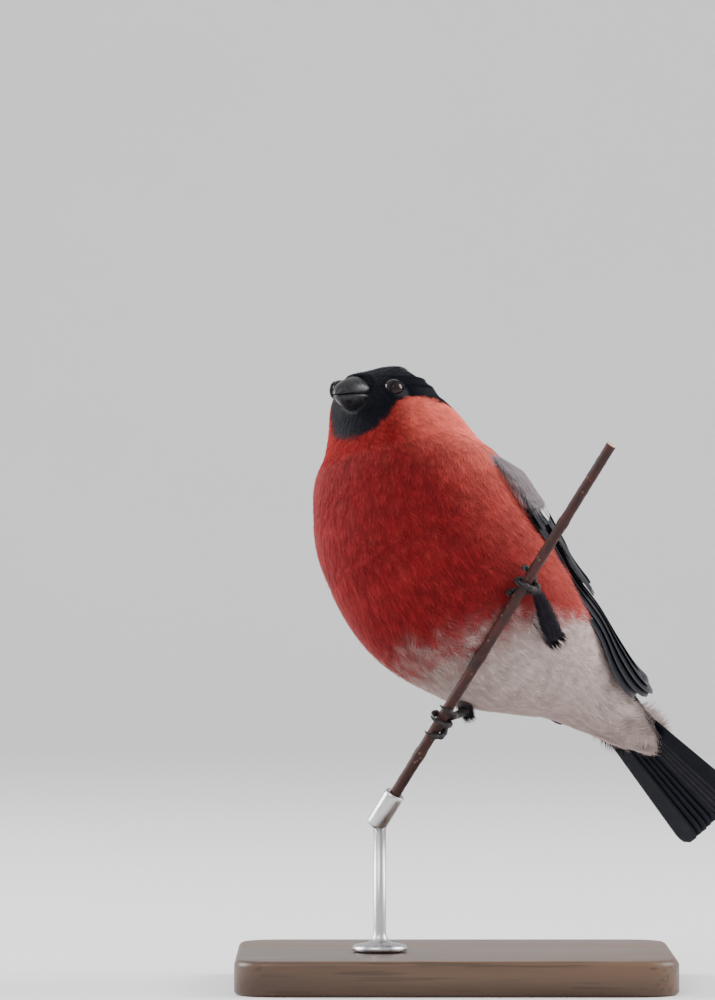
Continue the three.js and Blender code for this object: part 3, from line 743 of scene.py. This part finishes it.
def add_coat(name, s, angle, strands, lifts, slot, material=COAT, stretch=1.0, fray=0.03, width=0.05):
    """A piece of plumes at places of the form, coloured by the markings at their roots."""
    roots = body_point(s, angle)
    colour, gloss = markings(s, angle, roots, random.normal(0, BORDER_WOBBLE, len(s)))
    near_bill = np.linalg.norm(roots - bill_root, axis=1)
    length = plume_length(spine_axes[0](s)) * stretch * random.uniform(0.9, 1.1, len(s))
    length = length * np.clip(near_bill / FULL_LENGTH_FROM_BILL, 0.4, 1)
    flow = plume_flow(s, angle, roots, near_bill)
    barb_width = width * length**0.75
    part, along, shading = plume_mesh(s, angle, length, flow, lifts, strands, barb_width, fray)
    each = len(along) // len(s)
    tone = random.normal(1, TONE_SPREAD, len(s))
    base = np.repeat(colour * tone[:, None], each, 0) * (ROOT_TONE + TONE_RISE * along[:, None])
    piece(name, part, material, slot, colours=np.c_[base, np.repeat(gloss, each)], normals=shading)


def clear_of_features(s, angle):
    """Keeps plumes off the eyes, the bill's base and the part that the flight feathers hide."""
    ahead, side, up = in_head(body_point(s, angle))
    eye = np.hypot(ahead - EYE_AHEAD - 0.8, up - EYE_UP)
    keep = (eye > 1.95) | (np.abs(side) < 4)
    keep &= (np.hypot(side / (BILL_HALF + 0.1), (up + BILL_DROP) / (BILL_UP + 0.1)) > 1) | (ahead < 3)
    return keep & ((over_wing(s, angle) < 0.15) | (spine_axes[0](s) > 6))


def over_shoulder(s, angle):
    """Where the plumes run over the wing's front, 0 to 1."""
    x = spine_axes[0](s)
    return over_wing(s, angle) * ramp(x, 2, 7) * (1 - ramp(x, 16, 23))


def make_coat():
    """Coat pieces from the vent to the crown: end of the piece, spacing, strands and heights."""
    start = 2.0
    for name, stop, spacing, strands, low, high, slot, material in (
        ("coat_vent", spine_at_x(-42), 0.2, 13, -1.0, 0.3, "plumage_red", COAT),
        ("coat_belly", spine_at_x(-20), 0.19, 13, -1.2, 0.3, "plumage_red", COAT),
        ("coat_flank", spine_at_x(-4), 0.2, 13, -1.2, 0.3, "plumage_red", COAT),
        ("coat_breast", spine_at_x(11), 0.21, 13, -1.2, 0.3, "plumage_red", COAT),
        ("coat_chest", spine_at_x(22), 0.215, 13, -1.1, 0.25, "plumage_red", COAT),
        ("coat_neck", spine_at_x(30), 0.225, 12, -0.9, 0.25, "plumage_red", COAT),
        ("coat_nape", spine_at_x(37), 0.23, 9, -0.6, 0.2, "plumage_red", HEAD_COAT),
        ("coat_head", SPINE - 0.2, 0.25, 7, -0.4, 0.12, "plumage_black", HEAD_COAT),
    ):
        s, angle = scatter(start, stop, spacing)
        keep = clear_of_features(s, angle)
        s, angle = s[keep], angle[keep]
        raised = SHOULDER_RISE * over_shoulder(s, angle)
        add_coat(name, s, angle, strands, (low + raised, high + raised), slot, material)
        start = stop


def make_tail_coverts():
    """Long soft plumes under and over the tail's base."""
    finish = dict(fray=0.014, width=0.065)
    s = random.uniform(0.6, spine_at_x(-56), 420)
    angle = wrapped(np.pi + random.uniform(-1.05, 1.05, len(s)))
    add_coat("coat_undertail", s, angle, 16, (-0.6, 0.3), "plumage_red", COAT, 1.4, **finish)
    s = random.uniform(1.0, spine_at_x(-49), 380)
    angle = random.uniform(-0.85, 0.85, len(s))
    add_coat("coat_uppertail", s, angle, 14, (-0.5, 0.3), "plumage_black", HEAD_COAT, 1.35, **finish)


def bristle_piece(name, roots, tips, ups, width, tones, centre):
    """Single barbs between given points in the bird's frame."""
    count = len(roots)
    points, triangles, shading = barb_mesh(roots, tips, ups, np.full(count, width))
    tones = np.repeat(random.uniform(0.7, 1.3, count)[:, None] * tones, 4, 0)
    uv = np.array(centre) + PATCH * np.tile([[-0.5, -0.5], [-0.5, 0.5], [0, 0], [0.5, 0]], (count, 1))
    colours = np.c_[tones, np.full(len(points), 0.6)]
    part = (points, triangles, uv)
    piece(name, part, HEAD_COAT, "plumage_black", colours=colours, normals=shading)


def make_face_bristles():
    """Short bristly plumes that lie forward over the bill's base all round it."""
    count = 2600
    turn = random.uniform(0, FULL_TURN, count)
    depth = np.where(np.sin(turn) > 0, BILL_UP, BILL_DOWN)
    back = random.uniform(-2.6, 0.5, count)
    wide = 1.07 + 0.1 * random.uniform(0, 1, count) - 0.05 * back

    def around(ahead, girth):
        side = BILL_HALF * girth * np.cos(turn)
        return head_point(BILL_BASE + ahead, side, -BILL_DROP + depth * girth * np.sin(turn))

    reach = random.uniform(1.4, 2.4, count) * (1 + 0.3 * np.sin(turn))
    roots = around(back, wide)
    tips = around(back + reach, wide - 0.04 + random.normal(0, 0.03, count))
    ups = unit(around(back, wide + 1) - roots)
    bristle_piece("bristles_bill", roots, tips, ups, 0.2, JET, (0.9, 0.95))


def make_trousers(name):
    """Dark plumes that clothe the shank and the upper part of the tarsus."""
    count = 2600
    t = random.uniform(0, 1, count) ** 0.9
    knee, heel = KNEE[name], HEEL[name]
    foot = wrap(name, FOOT_OUT, 0, 0)[0]
    shank, tarsus = np.linalg.norm(heel - knee), CLOTHED_SHARE[name] * np.linalg.norm(foot - heel)
    at = (t * (shank + tarsus))[:, None]
    on_shank = at < shank
    down_shank, down_tarsus = unit(heel - knee), unit(foot - heel)
    axis = np.where(on_shank, down_shank, down_tarsus)
    core = np.where(on_shank, knee + down_shank * at, heel + down_tarsus * (at - shank))
    turn = random.uniform(0, FULL_TURN, count)[:, None]
    across = unit(np.cross(down_tarsus, down_shank + 0.01))
    ups = unit(across * np.cos(turn) + np.cross(axis, across) * np.sin(turn))
    thick = np.interp(at / (shank + tarsus), [0, 0.4, 0.75, 1], [3.8, 2.8, 2.1, 1.2])
    roots = core + ups * (thick - 0.5)
    reach = random.uniform(2.6, 4.0, count)[:, None]
    tips = roots + axis * reach + ups * random.uniform(0.0, 1.1, count)[:, None]
    dark = ramp(at / shank, 0.55, 0.9)
    tones = CREAM * (1 - dark) + TROUSER * dark
    bristle_piece(f"trousers_{name}", roots, tips, ups, 0.28, tones, (0.4, 0.5))


# Wing and tail feathers: solid vanes with a raised shaft and camber.
def vane_part(t, shaft, away, upward, width, outer_part, sweep, patch):
    """One feather as a part, with its vane places.

    At each place t along the shaft line it has a direction outward and one upward and a half width.
    outer_part is the outer vane's share of it, and sweep slants the barbs toward the tip.
    """
    rows = len(shaft)
    along = unit(np.gradient(shaft, axis=0))
    normal = unit(np.cross(along, away))
    normal = normal * np.sign(dot(normal, upward))[:, None]
    half_widths = np.stack([width * (2 - outer_part), width * outer_part], 1)
    sweep = along * sweep * ramp(t, 0, 0.2)[:, None]
    share = np.linspace(-1, 1, 9)
    arch = 1 - share**2
    top, bottom = [], []
    for i in range(rows):
        reach = share * np.where(share < 0, half_widths[i, 0], half_widths[i, 1])
        base = shaft[i] + away[i] * reach[:, None] + sweep[i] * np.abs(reach)[:, None]
        camber = VANE_CAMBER * arch * half_widths[i].mean() / 3
        ridge = 0.12 * np.exp(-((share / 0.16) ** 2)) + camber
        thick = VANE_THICK * (0.45 + 0.55 * (1 - (i / (rows - 1)) ** 3)) * (0.35 + 0.65 * arch)
        top.append(base + normal[i] * (ridge + thick * 0.5)[:, None])
        bottom.append(base + normal[i] * (camber - thick * 0.5)[:, None])
    points, triangles, _ = ring_part(np.concatenate([np.array(top), np.array(bottom)[:, ::-1]], 1))
    v, u = np.meshgrid(np.linspace(0, 1, rows), np.concatenate([share, share[::-1]]), indexing="ij")
    vane = np.concatenate([np.stack([v, u], -1).reshape(-1, 2), [[0, 0], [1, 0]]])
    uv = np.array(patch) + 0.02 * (vane * [1, 0.5] - [0.5, 0])
    return (points, triangles, uv), vane


def tip_shape(t, round_over):
    """Half-width share along a feather: narrow root, full vane, rounded tip."""
    distance = (1 - t) / round_over
    end = np.sqrt(np.clip(1 - (1 - np.clip(distance, 0, 1)) ** 2, 0, 1))
    return np.maximum(0.03, end) * (0.45 + 0.55 * ramp(t, 0, 0.25))


def wing_feather(sign, root, tip, share, tip_share, half, heights, outer_part, rows, patch):
    """A wing feather from x root to x tip, on the wing surface."""
    t = np.linspace(0, 1, rows) ** 0.85
    x = root + (tip - root) * t
    room = wing_edge(sign, x) - wing_inner(x)
    middle = wing_inner(x) + room * (share + (tip_share - share) * t**1.5)
    width = half * tip_shape(t, min(0.3, 4.0 / (root - tip)))
    middle = np.minimum(middle, wing_edge(sign, x) - width * outer_part)
    height = heights[0] + (heights[1] - heights[0]) * np.clip(2.5 * t, 0, 1) + VANE_TILT * half
    shaft = wing_point(sign, x, middle, height)
    away = unit(wing_point(sign, x, middle + 0.5, height + 0.5 * VANE_TILT) - shaft)
    upward = wing_point(sign, x, middle, height + 1) - shaft
    return vane_part(t, shaft, away, upward, width, outer_part, 0.35, patch)


def feather_colours(vane, colour, tip_colour, tip_from, edge_colour, edge_share):
    along, across = vane[:, 0], np.abs(vane[:, 1])
    tip = (ramp(along, tip_from - 0.06, tip_from + 0.03))[:, None]
    edge = (ramp(across, 0.86, 0.97) * edge_share)[:, None]
    shaft = (1 - ramp(across, 0.03, 0.09))[:, None]
    colour = colour * (1 - tip) + tip_colour * tip
    colour = colour * (1 - edge) + edge_colour * edge
    return colour * (1 - 0.35 * shaft)


def add_vanes(name, feathers, node):
    """One piece of feathers, each a part with its colours and vane places."""
    parts, colours, vanes = zip(*feathers)
    vane = np.concatenate(vanes)
    colours = np.c_[np.concatenate(colours), np.ones(len(vane))]
    made = piece(name, joined(parts), VANE, "plumage_black", node, colours=colours)
    layer = made.data.uv_layers.new(name="Vane")
    corner = np.empty(len(made.data.loops), np.int32)
    made.data.loops.foreach_get("vertex_index", corner)
    slanted = np.stack([vane[:, 0] * 3 + np.abs(vane[:, 1]) * 0.6, vane[:, 1]], -1)
    layer.data.foreach_set("uv", slanted[corner].astype(np.float32).ravel())
    made.data.uv_layers["OFBake"].active = True


def wing_tiers():
    """Secondaries, tertials, greater coverts and primary coverts, each from its outer feather inward."""
    secondaries = dict(count=6, root=5, tips=(-33, -33.5), shares=(0.7, 0.36), bar_from=None)
    tertials = dict(count=3, root=5, tips=(-36, -25), shares=(0.27, 0.1), bar_from=None)
    greater = dict(count=10, root=11, tips=(-5, -9), shares=(0.92, 0.08), bar_from=2)
    primary = dict(count=5, root=14, tips=(-11, -6), shares=(0.98, 0.84), bar_from=None)
    yield secondaries, dict(heights=(3.8, 3.8), half=2.6, outer_part=0.75)
    yield tertials, dict(heights=(4.1, 4.2), half=3.8, outer_part=0.9)
    yield greater, dict(heights=(2.9, 4.6), half=2.6, outer_part=0.85)
    yield primary, dict(heights=(3.2, 3.7), half=1.9, outer_part=0.8)


def make_wing(name, sign):
    feathers = []

    def grow(tip_colour, tip_from, edge_share, **shape):
        row, column = divmod(len(feathers), MAP_COLUMNS)
        patch = (0.05 + 0.9 * column / MAP_COLUMNS, 0.05 + 0.9 * row / MAP_COLUMNS)
        part, vane = wing_feather(sign, patch=patch, **shape)
        colour = JET * random.uniform(0.85, 1.15)
        colours = feather_colours(vane, colour, tip_colour, tip_from, BAR * 0.3, edge_share)
        feathers.append((part, colours, vane))

    for i, (tip, tip_share) in enumerate(zip(PRIMARY_TIPS, PRIMARY_TIP_SHARES)):
        tip = tip + random.uniform(-0.4, 0.4)
        half = 3.3 if i < 4 else 4.4
        heights = (2.6, 1.4 + 0.1 * (len(PRIMARY_TIPS) - 1 - i))
        grow(ASH * 0.7, 0.985, 0.25, root=PRIMARY_ROOT_X, tip=tip, share=0.13 + 0.1 * i,
             tip_share=tip_share, half=half, heights=heights, outer_part=0.72, rows=34)
    for tier, shape in wing_tiers():
        for i in range(tier["count"]):
            t = i / (tier["count"] - 1)
            share = tier["shares"][0] * (1 - t) + tier["shares"][1] * t
            tip = tier["tips"][0] * (1 - t) + tier["tips"][1] * t + random.uniform(-0.4, 0.4)
            barred = tier["bar_from"] is not None and i >= tier["bar_from"]
            tip_colour, tip_from = (BAR, 0.58 + 0.05 * t) if barred else (JET, 0.97)
            grow(tip_colour, tip_from, 0.1, root=tier["root"], tip=tip, share=share, tip_share=share,
                 rows=20, **shape)
    add_vanes(f"wing_feathers_{name}", feathers, f"wing_{name}")


def make_tail():
    """Feathers laid alternately left and right of the middle, the central pair on top."""
    feathers = []
    last_rank = TAIL_FEATHERS // 2 - 1
    for i in range(TAIL_FEATHERS):
        side = -1 if i % 2 else 1
        rank = i // 2
        tip = TAIL_TIP_X + TAIL_NOTCH * (1 - rank / last_rank) + random.uniform(-0.3, 0.3)
        t = np.linspace(0, 1, 30) ** 0.8
        x = TAIL_ROOT_X + (tip - TAIL_ROOT_X) * t
        share = (x - TAIL_ROOT_X) / (TAIL_TIP_X - TAIL_ROOT_X)
        middle = (0.95 + 1.15 * share) * (rank + 0.5)
        width = TAIL_HALF_VANE * tip_shape(t, 0.1) * (0.5 + 0.5 * share)
        level = 13.1 + 4.9 * share - 0.28 * rank * (0.4 + 0.6 * share) + 0.16 * (side > 0)
        shaft = np.stack([x, side * middle, level + 0.5], -1)
        away = np.broadcast_to(unit(np.array([0, side, 0.09])), shaft.shape)
        upward = np.broadcast_to([0, 0, 1.0], shaft.shape)
        outer_part = 0.8 if rank else 1.0
        patch = (0.08 + 0.075 * i, 0.5)
        part, vane = vane_part(t, shaft, away, upward, width, outer_part, 0.3, patch)
        colours = feather_colours(vane, JET * random.uniform(0.9, 1.3), JET * 2, 0.99, ASH * 0.5, 0.12)
        feathers.append((part, colours, vane))
    add_vanes("tail_feathers", feathers, "tail")


# Eyes with lids.
def make_eye(name, sign):
    centre = head_point(EYE_AHEAD, sign * EYE_SIDE, EYE_UP)
    axis = unit(head_left * sign * 0.93 + head_forward * 0.37)
    across = unit(np.cross(head_up, axis))
    up = np.cross(axis, across)
    polar = np.linspace(0.02, math.pi - 0.02, 40)[:, None, None]
    turn = turned(56)[None, :, None]
    bulge = 1 + 0.05 * np.exp(-((polar / 0.6) ** 2))
    around = across * np.cos(turn) + up * np.sin(turn)
    ball = ring_part(centre + EYE_RADIUS * (axis * np.cos(polar) * bulge + np.sin(polar) * around))
    piece(f"eyeball_{name}", ball, EYE, "eye", f"eye_{name}")

    lids = []
    for lid_radius, ahead, wrinkle in ((1.84, 2.02, 0.016), (2.2, 1.66, 0.024)):
        angle = turned(72)[:, None]
        radius = lid_radius * (1 + wrinkle * np.sin(9 * angle + lid_radius))
        flat = 1 - 0.1 * np.abs(np.sin(angle))
        spoke = (across * np.cos(angle) + up * (flat * np.sin(angle))) * radius
        core = centre + axis * ahead + spoke
        cross = turned(10)[None, :, None]
        lids.append(hoop_part(
            core[:, None] + LID_THICK * (unit(spoke)[:, None] * np.cos(cross) + axis * np.sin(cross))
        ))
    piece(f"eyelids_{name}", joined(lids), LID, "plumage_black")


# Bill.
def mandible_rings(upper):
    """Rings of one bill half from base to tip, each an outer arch and the edge where the halves meet."""
    sign = 1 if upper else -1
    depth = BILL_UP if upper else BILL_DOWN
    length = BILL_LENGTH if upper else BILL_LENGTH - LOWER_BILL_SHORTER
    crest = 0.22 if upper else 0.08
    taper = smooth([0, 0.25, 0.5, 0.75, 0.92, 1], [1, 0.97, 0.84, 0.6, 0.33, 0.06])
    angle = np.linspace(0, math.pi, 20)
    rings = []
    for t in np.linspace(0, 1, 34):
        ahead = BILL_BASE + length * t
        meet = sign * 0.07 - BILL_DROP - 0.9 * t**3
        wave = 0.16 * math.sin(math.pi * t)
        side = BILL_HALF * taper(t) * np.cos(angle)
        ridge = crest * np.exp(-(((angle - math.pi / 2) / 0.22) ** 2)) * (1 - t)
        high = depth * taper(t) * np.sin(angle) ** 0.9 + ridge
        arch = meet + sign * high + wave * np.cos(angle) ** 2
        inner = np.linspace(-0.92, 0.92, len(angle)) * BILL_HALF * taper(t)
        edge = head_point(ahead, inner, meet + wave * (inner / BILL_HALF) ** 2)
        rings.append(np.concatenate([head_point(ahead, side, arch), edge]))
    return np.array(rings)


def make_bill():
    upper = mandible_rings(True)
    for sign in (1, -1):
        nostril = head_point(BILL_BASE + NOSTRIL_AHEAD, sign * NOSTRIL_SIDE, NOSTRIL_UP)
        distance = np.linalg.norm(upper - nostril, axis=-1)
        dent = sign * NOSTRIL_DEPTH * np.exp(-((distance / NOSTRIL_RADIUS) ** 2))
        upper = upper - head_left * dent[..., None]
    piece("bill_upper_horn", ring_part(upper), BILL_HORN, "bill", "bill_upper")
    piece("bill_lower_horn", ring_part(mandible_rings(False)), BILL_HORN, "bill", "bill_lower")


# Legs and feet.
grip = {name: to_bird(point) for name, point in GRIP.items()}
twig_along = unit(grip["left"] - grip["right"])


def wrap(name, radius, angle, slide):
    """Points around the twig at a foot: angle 0 faces the heel, slide runs up the twig."""
    out = HEEL[name] - grip[name]
    out = unit(out - twig_along * (out @ twig_along))
    around = np.cross(twig_along, out)
    radius, angle, slide = (np.atleast_1d(np.asarray(v, float))[:, None] for v in (radius, angle, slide))
    turned_out = out * radius * np.cos(angle) + around * radius * np.sin(angle)
    return grip[name] + twig_along * slide + turned_out


def make_leg(name, turn):
    """Shank and tarsus, then three toes one way round the twig and one the other, with claws."""
    heel, knee = HEEL[name], KNEE[name]
    foot = wrap(name, FOOT_OUT, 0, 0)[0]
    t = np.linspace(0, 1, 70)
    shank = knee + (heel - knee) * t[:, None]
    shank_radius = np.interp(t, [0, 0.5, 0.85, 1], [4.2, 3.1, 1.7, 1.2])
    tarsus = heel + (foot - heel) * t[:, None]
    scutes = 0.06 * np.abs(np.sin(t * math.pi * 11)) ** 0.5
    tarsus_radius = np.interp(t, [0, 0.08, 0.2, 0.9, 1], [1.15, 1.3, 1.0, 0.92, 1.1]) + scutes
    lines = ((shank, shank_radius), (tarsus, tarsus_radius))
    leg = joined([ring_part(tube_rings(line, radius, 20)) for line, radius in lines])
    piece(f"shank_{name}", leg, SHANK, "shank", f"leg_{name}")

    toes, claws = [], []
    a = np.linspace(0, 1, 56)
    pads = 0.1 * np.cos(a * math.pi * 7) + 0.035 * np.abs(np.sin(a * math.pi * 22))
    c = np.linspace(0, 1, 22)
    for direction, slide, sweep, lean in (
        (turn, 2.6, 3.0, 1.4), (turn, 0.0, 3.3, 0.0), (turn, -2.6, 2.9, -1.4), (-turn, 0.2, 2.2, 0.5)
    ):
        shift = slide * np.minimum(1, a * 3) + lean * a
        line = wrap(name, TOE_OUT + 1.2 * np.exp(-5 * a), direction * sweep * a, shift)
        toes.append(ring_part(tube_rings(line, TOE_RADIUS * (1 - 0.18 * a) + pads, 14)))
        angle = direction * (sweep - 0.12 + 0.85 * c)
        line = wrap(name, TOE_OUT + 0.25 + 0.55 * np.sin(c * 2.2), angle, slide + lean + 0 * c)
        claws.append(ring_part(tube_rings(line, CLAW_RADIUS * (1 - c) ** 0.75 + 0.05, 12)))
    sole = wrap(name, TOE_OUT + 0.9, 0, 0)[0] + twig_along * np.linspace(-1.9, 1.9, 16)[:, None]
    sole_radius = 1.25 * np.sqrt(1 - np.linspace(-0.96, 0.96, 16) ** 2)
    toes.append(ring_part(tube_rings(sole, sole_radius, 16)))
    piece(f"toes_{name}", joined(toes), SHANK, "shank", f"foot_{name}")
    piece(f"claws_{name}", joined(claws), CLAW, "shank")


# Twig, rod and base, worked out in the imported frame's millimetres.
def make_perch():
    """The twig with its buds' nodes and cut ends; returns its low end and its direction."""
    along = unit(GRIP["left"] - GRIP["right"])
    low = GRIP["right"] - along * TWIG_BEYOND_RIGHT
    length = np.linalg.norm(GRIP["left"] - GRIP["right"]) + TWIG_BEYOND_LEFT + TWIG_BEYOND_RIGHT
    t = np.linspace(0, length, 260)
    radius = TWIG_RADIUS * (1 - 0.0009 * t) - 0.02
    for at, rise in ((16, 0.18), (47, 0.156), (88, 0.204)):
        radius = radius + rise * np.exp(-(((t - at) / 1.4) ** 2))
    radius = radius + 0.035 * np.sin(t * 2.1) * np.sin(t * 0.63)
    sides = 36
    rings = tube_rings(low + along * t[:, None], radius, sides)
    bumps = 1 + 0.02 * np.sin(np.arange(sides) * 0.9)[None, :, None] * np.sin(t * 0.31)[:, None, None]
    centre = rings.mean(1, keepdims=True)
    rings = centre + (rings - centre) * bumps
    piece("twig", ring_part(to_bird(rings)), bark_material(), "bark", "perch_twig")
    for index, end in enumerate((low - along * 0.01, low + along * (length + 0.01))):
        disc = tube_rings([end - along * 0.03, end + along * 0.03], TWIG_RADIUS * 0.86, sides)
        piece(f"twig_cut_{index}", ring_part(to_bird(disc)), CUT_WOOD, "bark")
    return low, along


def make_stand(low, along):
    """The rod with its flange on the base, and the sleeve that holds the twig's low end."""
    holder = low - along * SLEEVE_BELOW_END
    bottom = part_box("stand_base")[1].z * 1000
    flange = [(-0.4, 0.3), (0, 0.5), (0, 1.2), (-0.5, 1.9), (-3.6, 2.5), (-4.8, 3.2)]
    profile = [(FLANGE_RADIUS + wider, height) for wider, height in flange]
    profile += [(ROD_RADIUS + 0.05, 4.6), (ROD_RADIUS, 6), (ROD_RADIUS, holder[2] - bottom)]
    radius, height = np.array(profile).T[:, :, None]
    turn = turned(64)
    rod = np.stack([
        holder[0] + radius * np.cos(turn), holder[1] + radius * np.sin(turn), bottom + height + 0 * turn
    ], -1)
    piece("rod", ring_part(to_bird(rod)), STEEL, "rod_steel", "stand_rod")

    step = np.array([-2.4, -2.2, -1.6, -1.4, 6.6, 7.4, 7.9, 8, 7.9, 3.6])[:, None, None]
    radius = np.array([1.9, 2.4, 2.65, 2.7, 2.7, 2.65, 2.45, 2.2, 1.98, 1.95])[:, None, None]
    turn = turned(48)[:, None]
    across = unit(np.cross(along, [0.3, 0.2, 0.9]))
    around = across * np.cos(turn) + np.cross(along, across) * np.sin(turn)
    sleeve = holder + along * step + radius * around
    piece("rod_sleeve", ring_part(to_bird(sleeve)), STEEL, "rod_steel")


def make_base():
    """A flat board with round corners, a small chamfer below and a round edge above."""
    low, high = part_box("stand_base")
    half_x, half_y, half_z = (1000 * (high - low)[k] / 2 for k in range(3))
    edge = [(BASE_CHAMFER, 0), (0, BASE_CHAMFER)]
    for a in np.linspace(0, math.pi / 2, 9):
        edge.append((BASE_BEVEL * (1 - math.cos(a)), 2 * half_z - BASE_BEVEL + BASE_BEVEL * math.sin(a)))
    rings = []
    for inset, height in edge:
        loop = []
        for quarter, (sx, sy) in enumerate(((1, 1), (-1, 1), (-1, -1), (1, -1))):
            a = np.linspace(0, math.pi / 2, 14) + quarter * math.pi / 2
            x = sx * (half_x - BASE_CORNER) + (BASE_CORNER - inset) * np.cos(a)
            y = sy * (half_y - BASE_CORNER) + (BASE_CORNER - inset) * np.sin(a)
            loop.append(np.stack([x, y, np.full(len(a), height)], -1))
        rings.append(np.concatenate(loop))
    piece("base", ring_part(to_bird(np.array(rings))), base_material(), "base_wood", "stand_base")


# Floor, lights and camera, in metres.
def make_stage():
    """A pale floor that curves up into a back wall."""
    front, back, half_span, bend, wall_top = -3.0, 1.6, 4.0, 0.8, 4.0
    profile = [(front, 0.0)]
    for angle in np.linspace(0, math.pi / 2, 20):
        profile.append((back + bend * math.sin(angle), bend - bend * math.cos(angle)))
    profile.append((back + bend, wall_top))
    points = [(x, y, z) for y, z in profile for x in (-half_span, half_span)]
    faces = [(2 * i, 2 * i + 1, 2 * i + 3, 2 * i + 2) for i in range(len(profile) - 1)]
    mesh = bpy.data.meshes.new("floor")
    mesh.from_pydata(points, [], faces)
    mesh.shade_smooth()
    mesh.materials.append(FLOOR)
    floor = add_object("floor", mesh)


def area_light(name, place, size, power, colour=(1, 1, 1)):
    data = bpy.data.lights.new(name, "AREA")
    data.shape = "DISK"
    data.size = size
    data.energy = power
    data.color = colour
    lamp = add_object(name, data)
    lamp.location = place
    lamp.rotation_euler = (Vector((0, 0, 0.1)) - Vector(place)).to_track_quat("-Z", "Y").to_euler()


def make_lights():
    area_light("key", (-0.5, -0.95, 1.1), 0.9, 9.0, (1.0, 0.98, 0.96))
    area_light("side_left", (-1.1, 0.3, 0.5), 0.8, 21.0)
    area_light("side_right", (1.0, 0.15, 0.65), 0.8, 17.0)
    world = bpy.data.worlds.new("studio")
    world.use_nodes = True
    background = world.node_tree.nodes["Background"]
    background.inputs[0].default_value = (0.93, 0.95, 1.0, 1)
    background.inputs[1].default_value = 0.95
    bpy.context.scene.world = world


def make_camera():
    """Level camera that shows the bird at the picture's scale and place."""
    distance, sensor = 1.7, 36.0
    picture_metres = PICTURE_HEIGHT / PIXELS_PER_MM / 1000
    data = bpy.data.cameras.new("camera")
    data.sensor_fit = "VERTICAL"
    data.sensor_height = sensor
    data.lens = sensor * distance / picture_metres
    camera = add_object("camera", data)
    middle_x = BIRD_ORIGIN[0] + (PICTURE_WIDTH / 2 - BIRD_PIXEL_X) / PIXELS_PER_MM
    middle_z = BIRD_ORIGIN[2] + (BIRD_PIXEL_Y - PICTURE_HEIGHT / 2) / PIXELS_PER_MM
    camera.location = (middle_x / 1000, -distance, middle_z / 1000)
    camera.rotation_euler = (math.pi / 2, 0, 0)
    bpy.context.scene.camera = camera


make_camera()
make_stage()
make_lights()
make_skin()
make_coat()
make_tail_coverts()
make_face_bristles()
for side_name, side_sign in (("left", 1), ("right", -1)):
    make_wing(side_name, side_sign)
    make_eye(side_name, side_sign)
    make_trousers(side_name)
make_tail()
make_bill()
make_leg("left", 1)
make_leg("right", -1)
twig_low, twig_direction = make_perch()
make_stand(twig_low, twig_direction)
make_base()
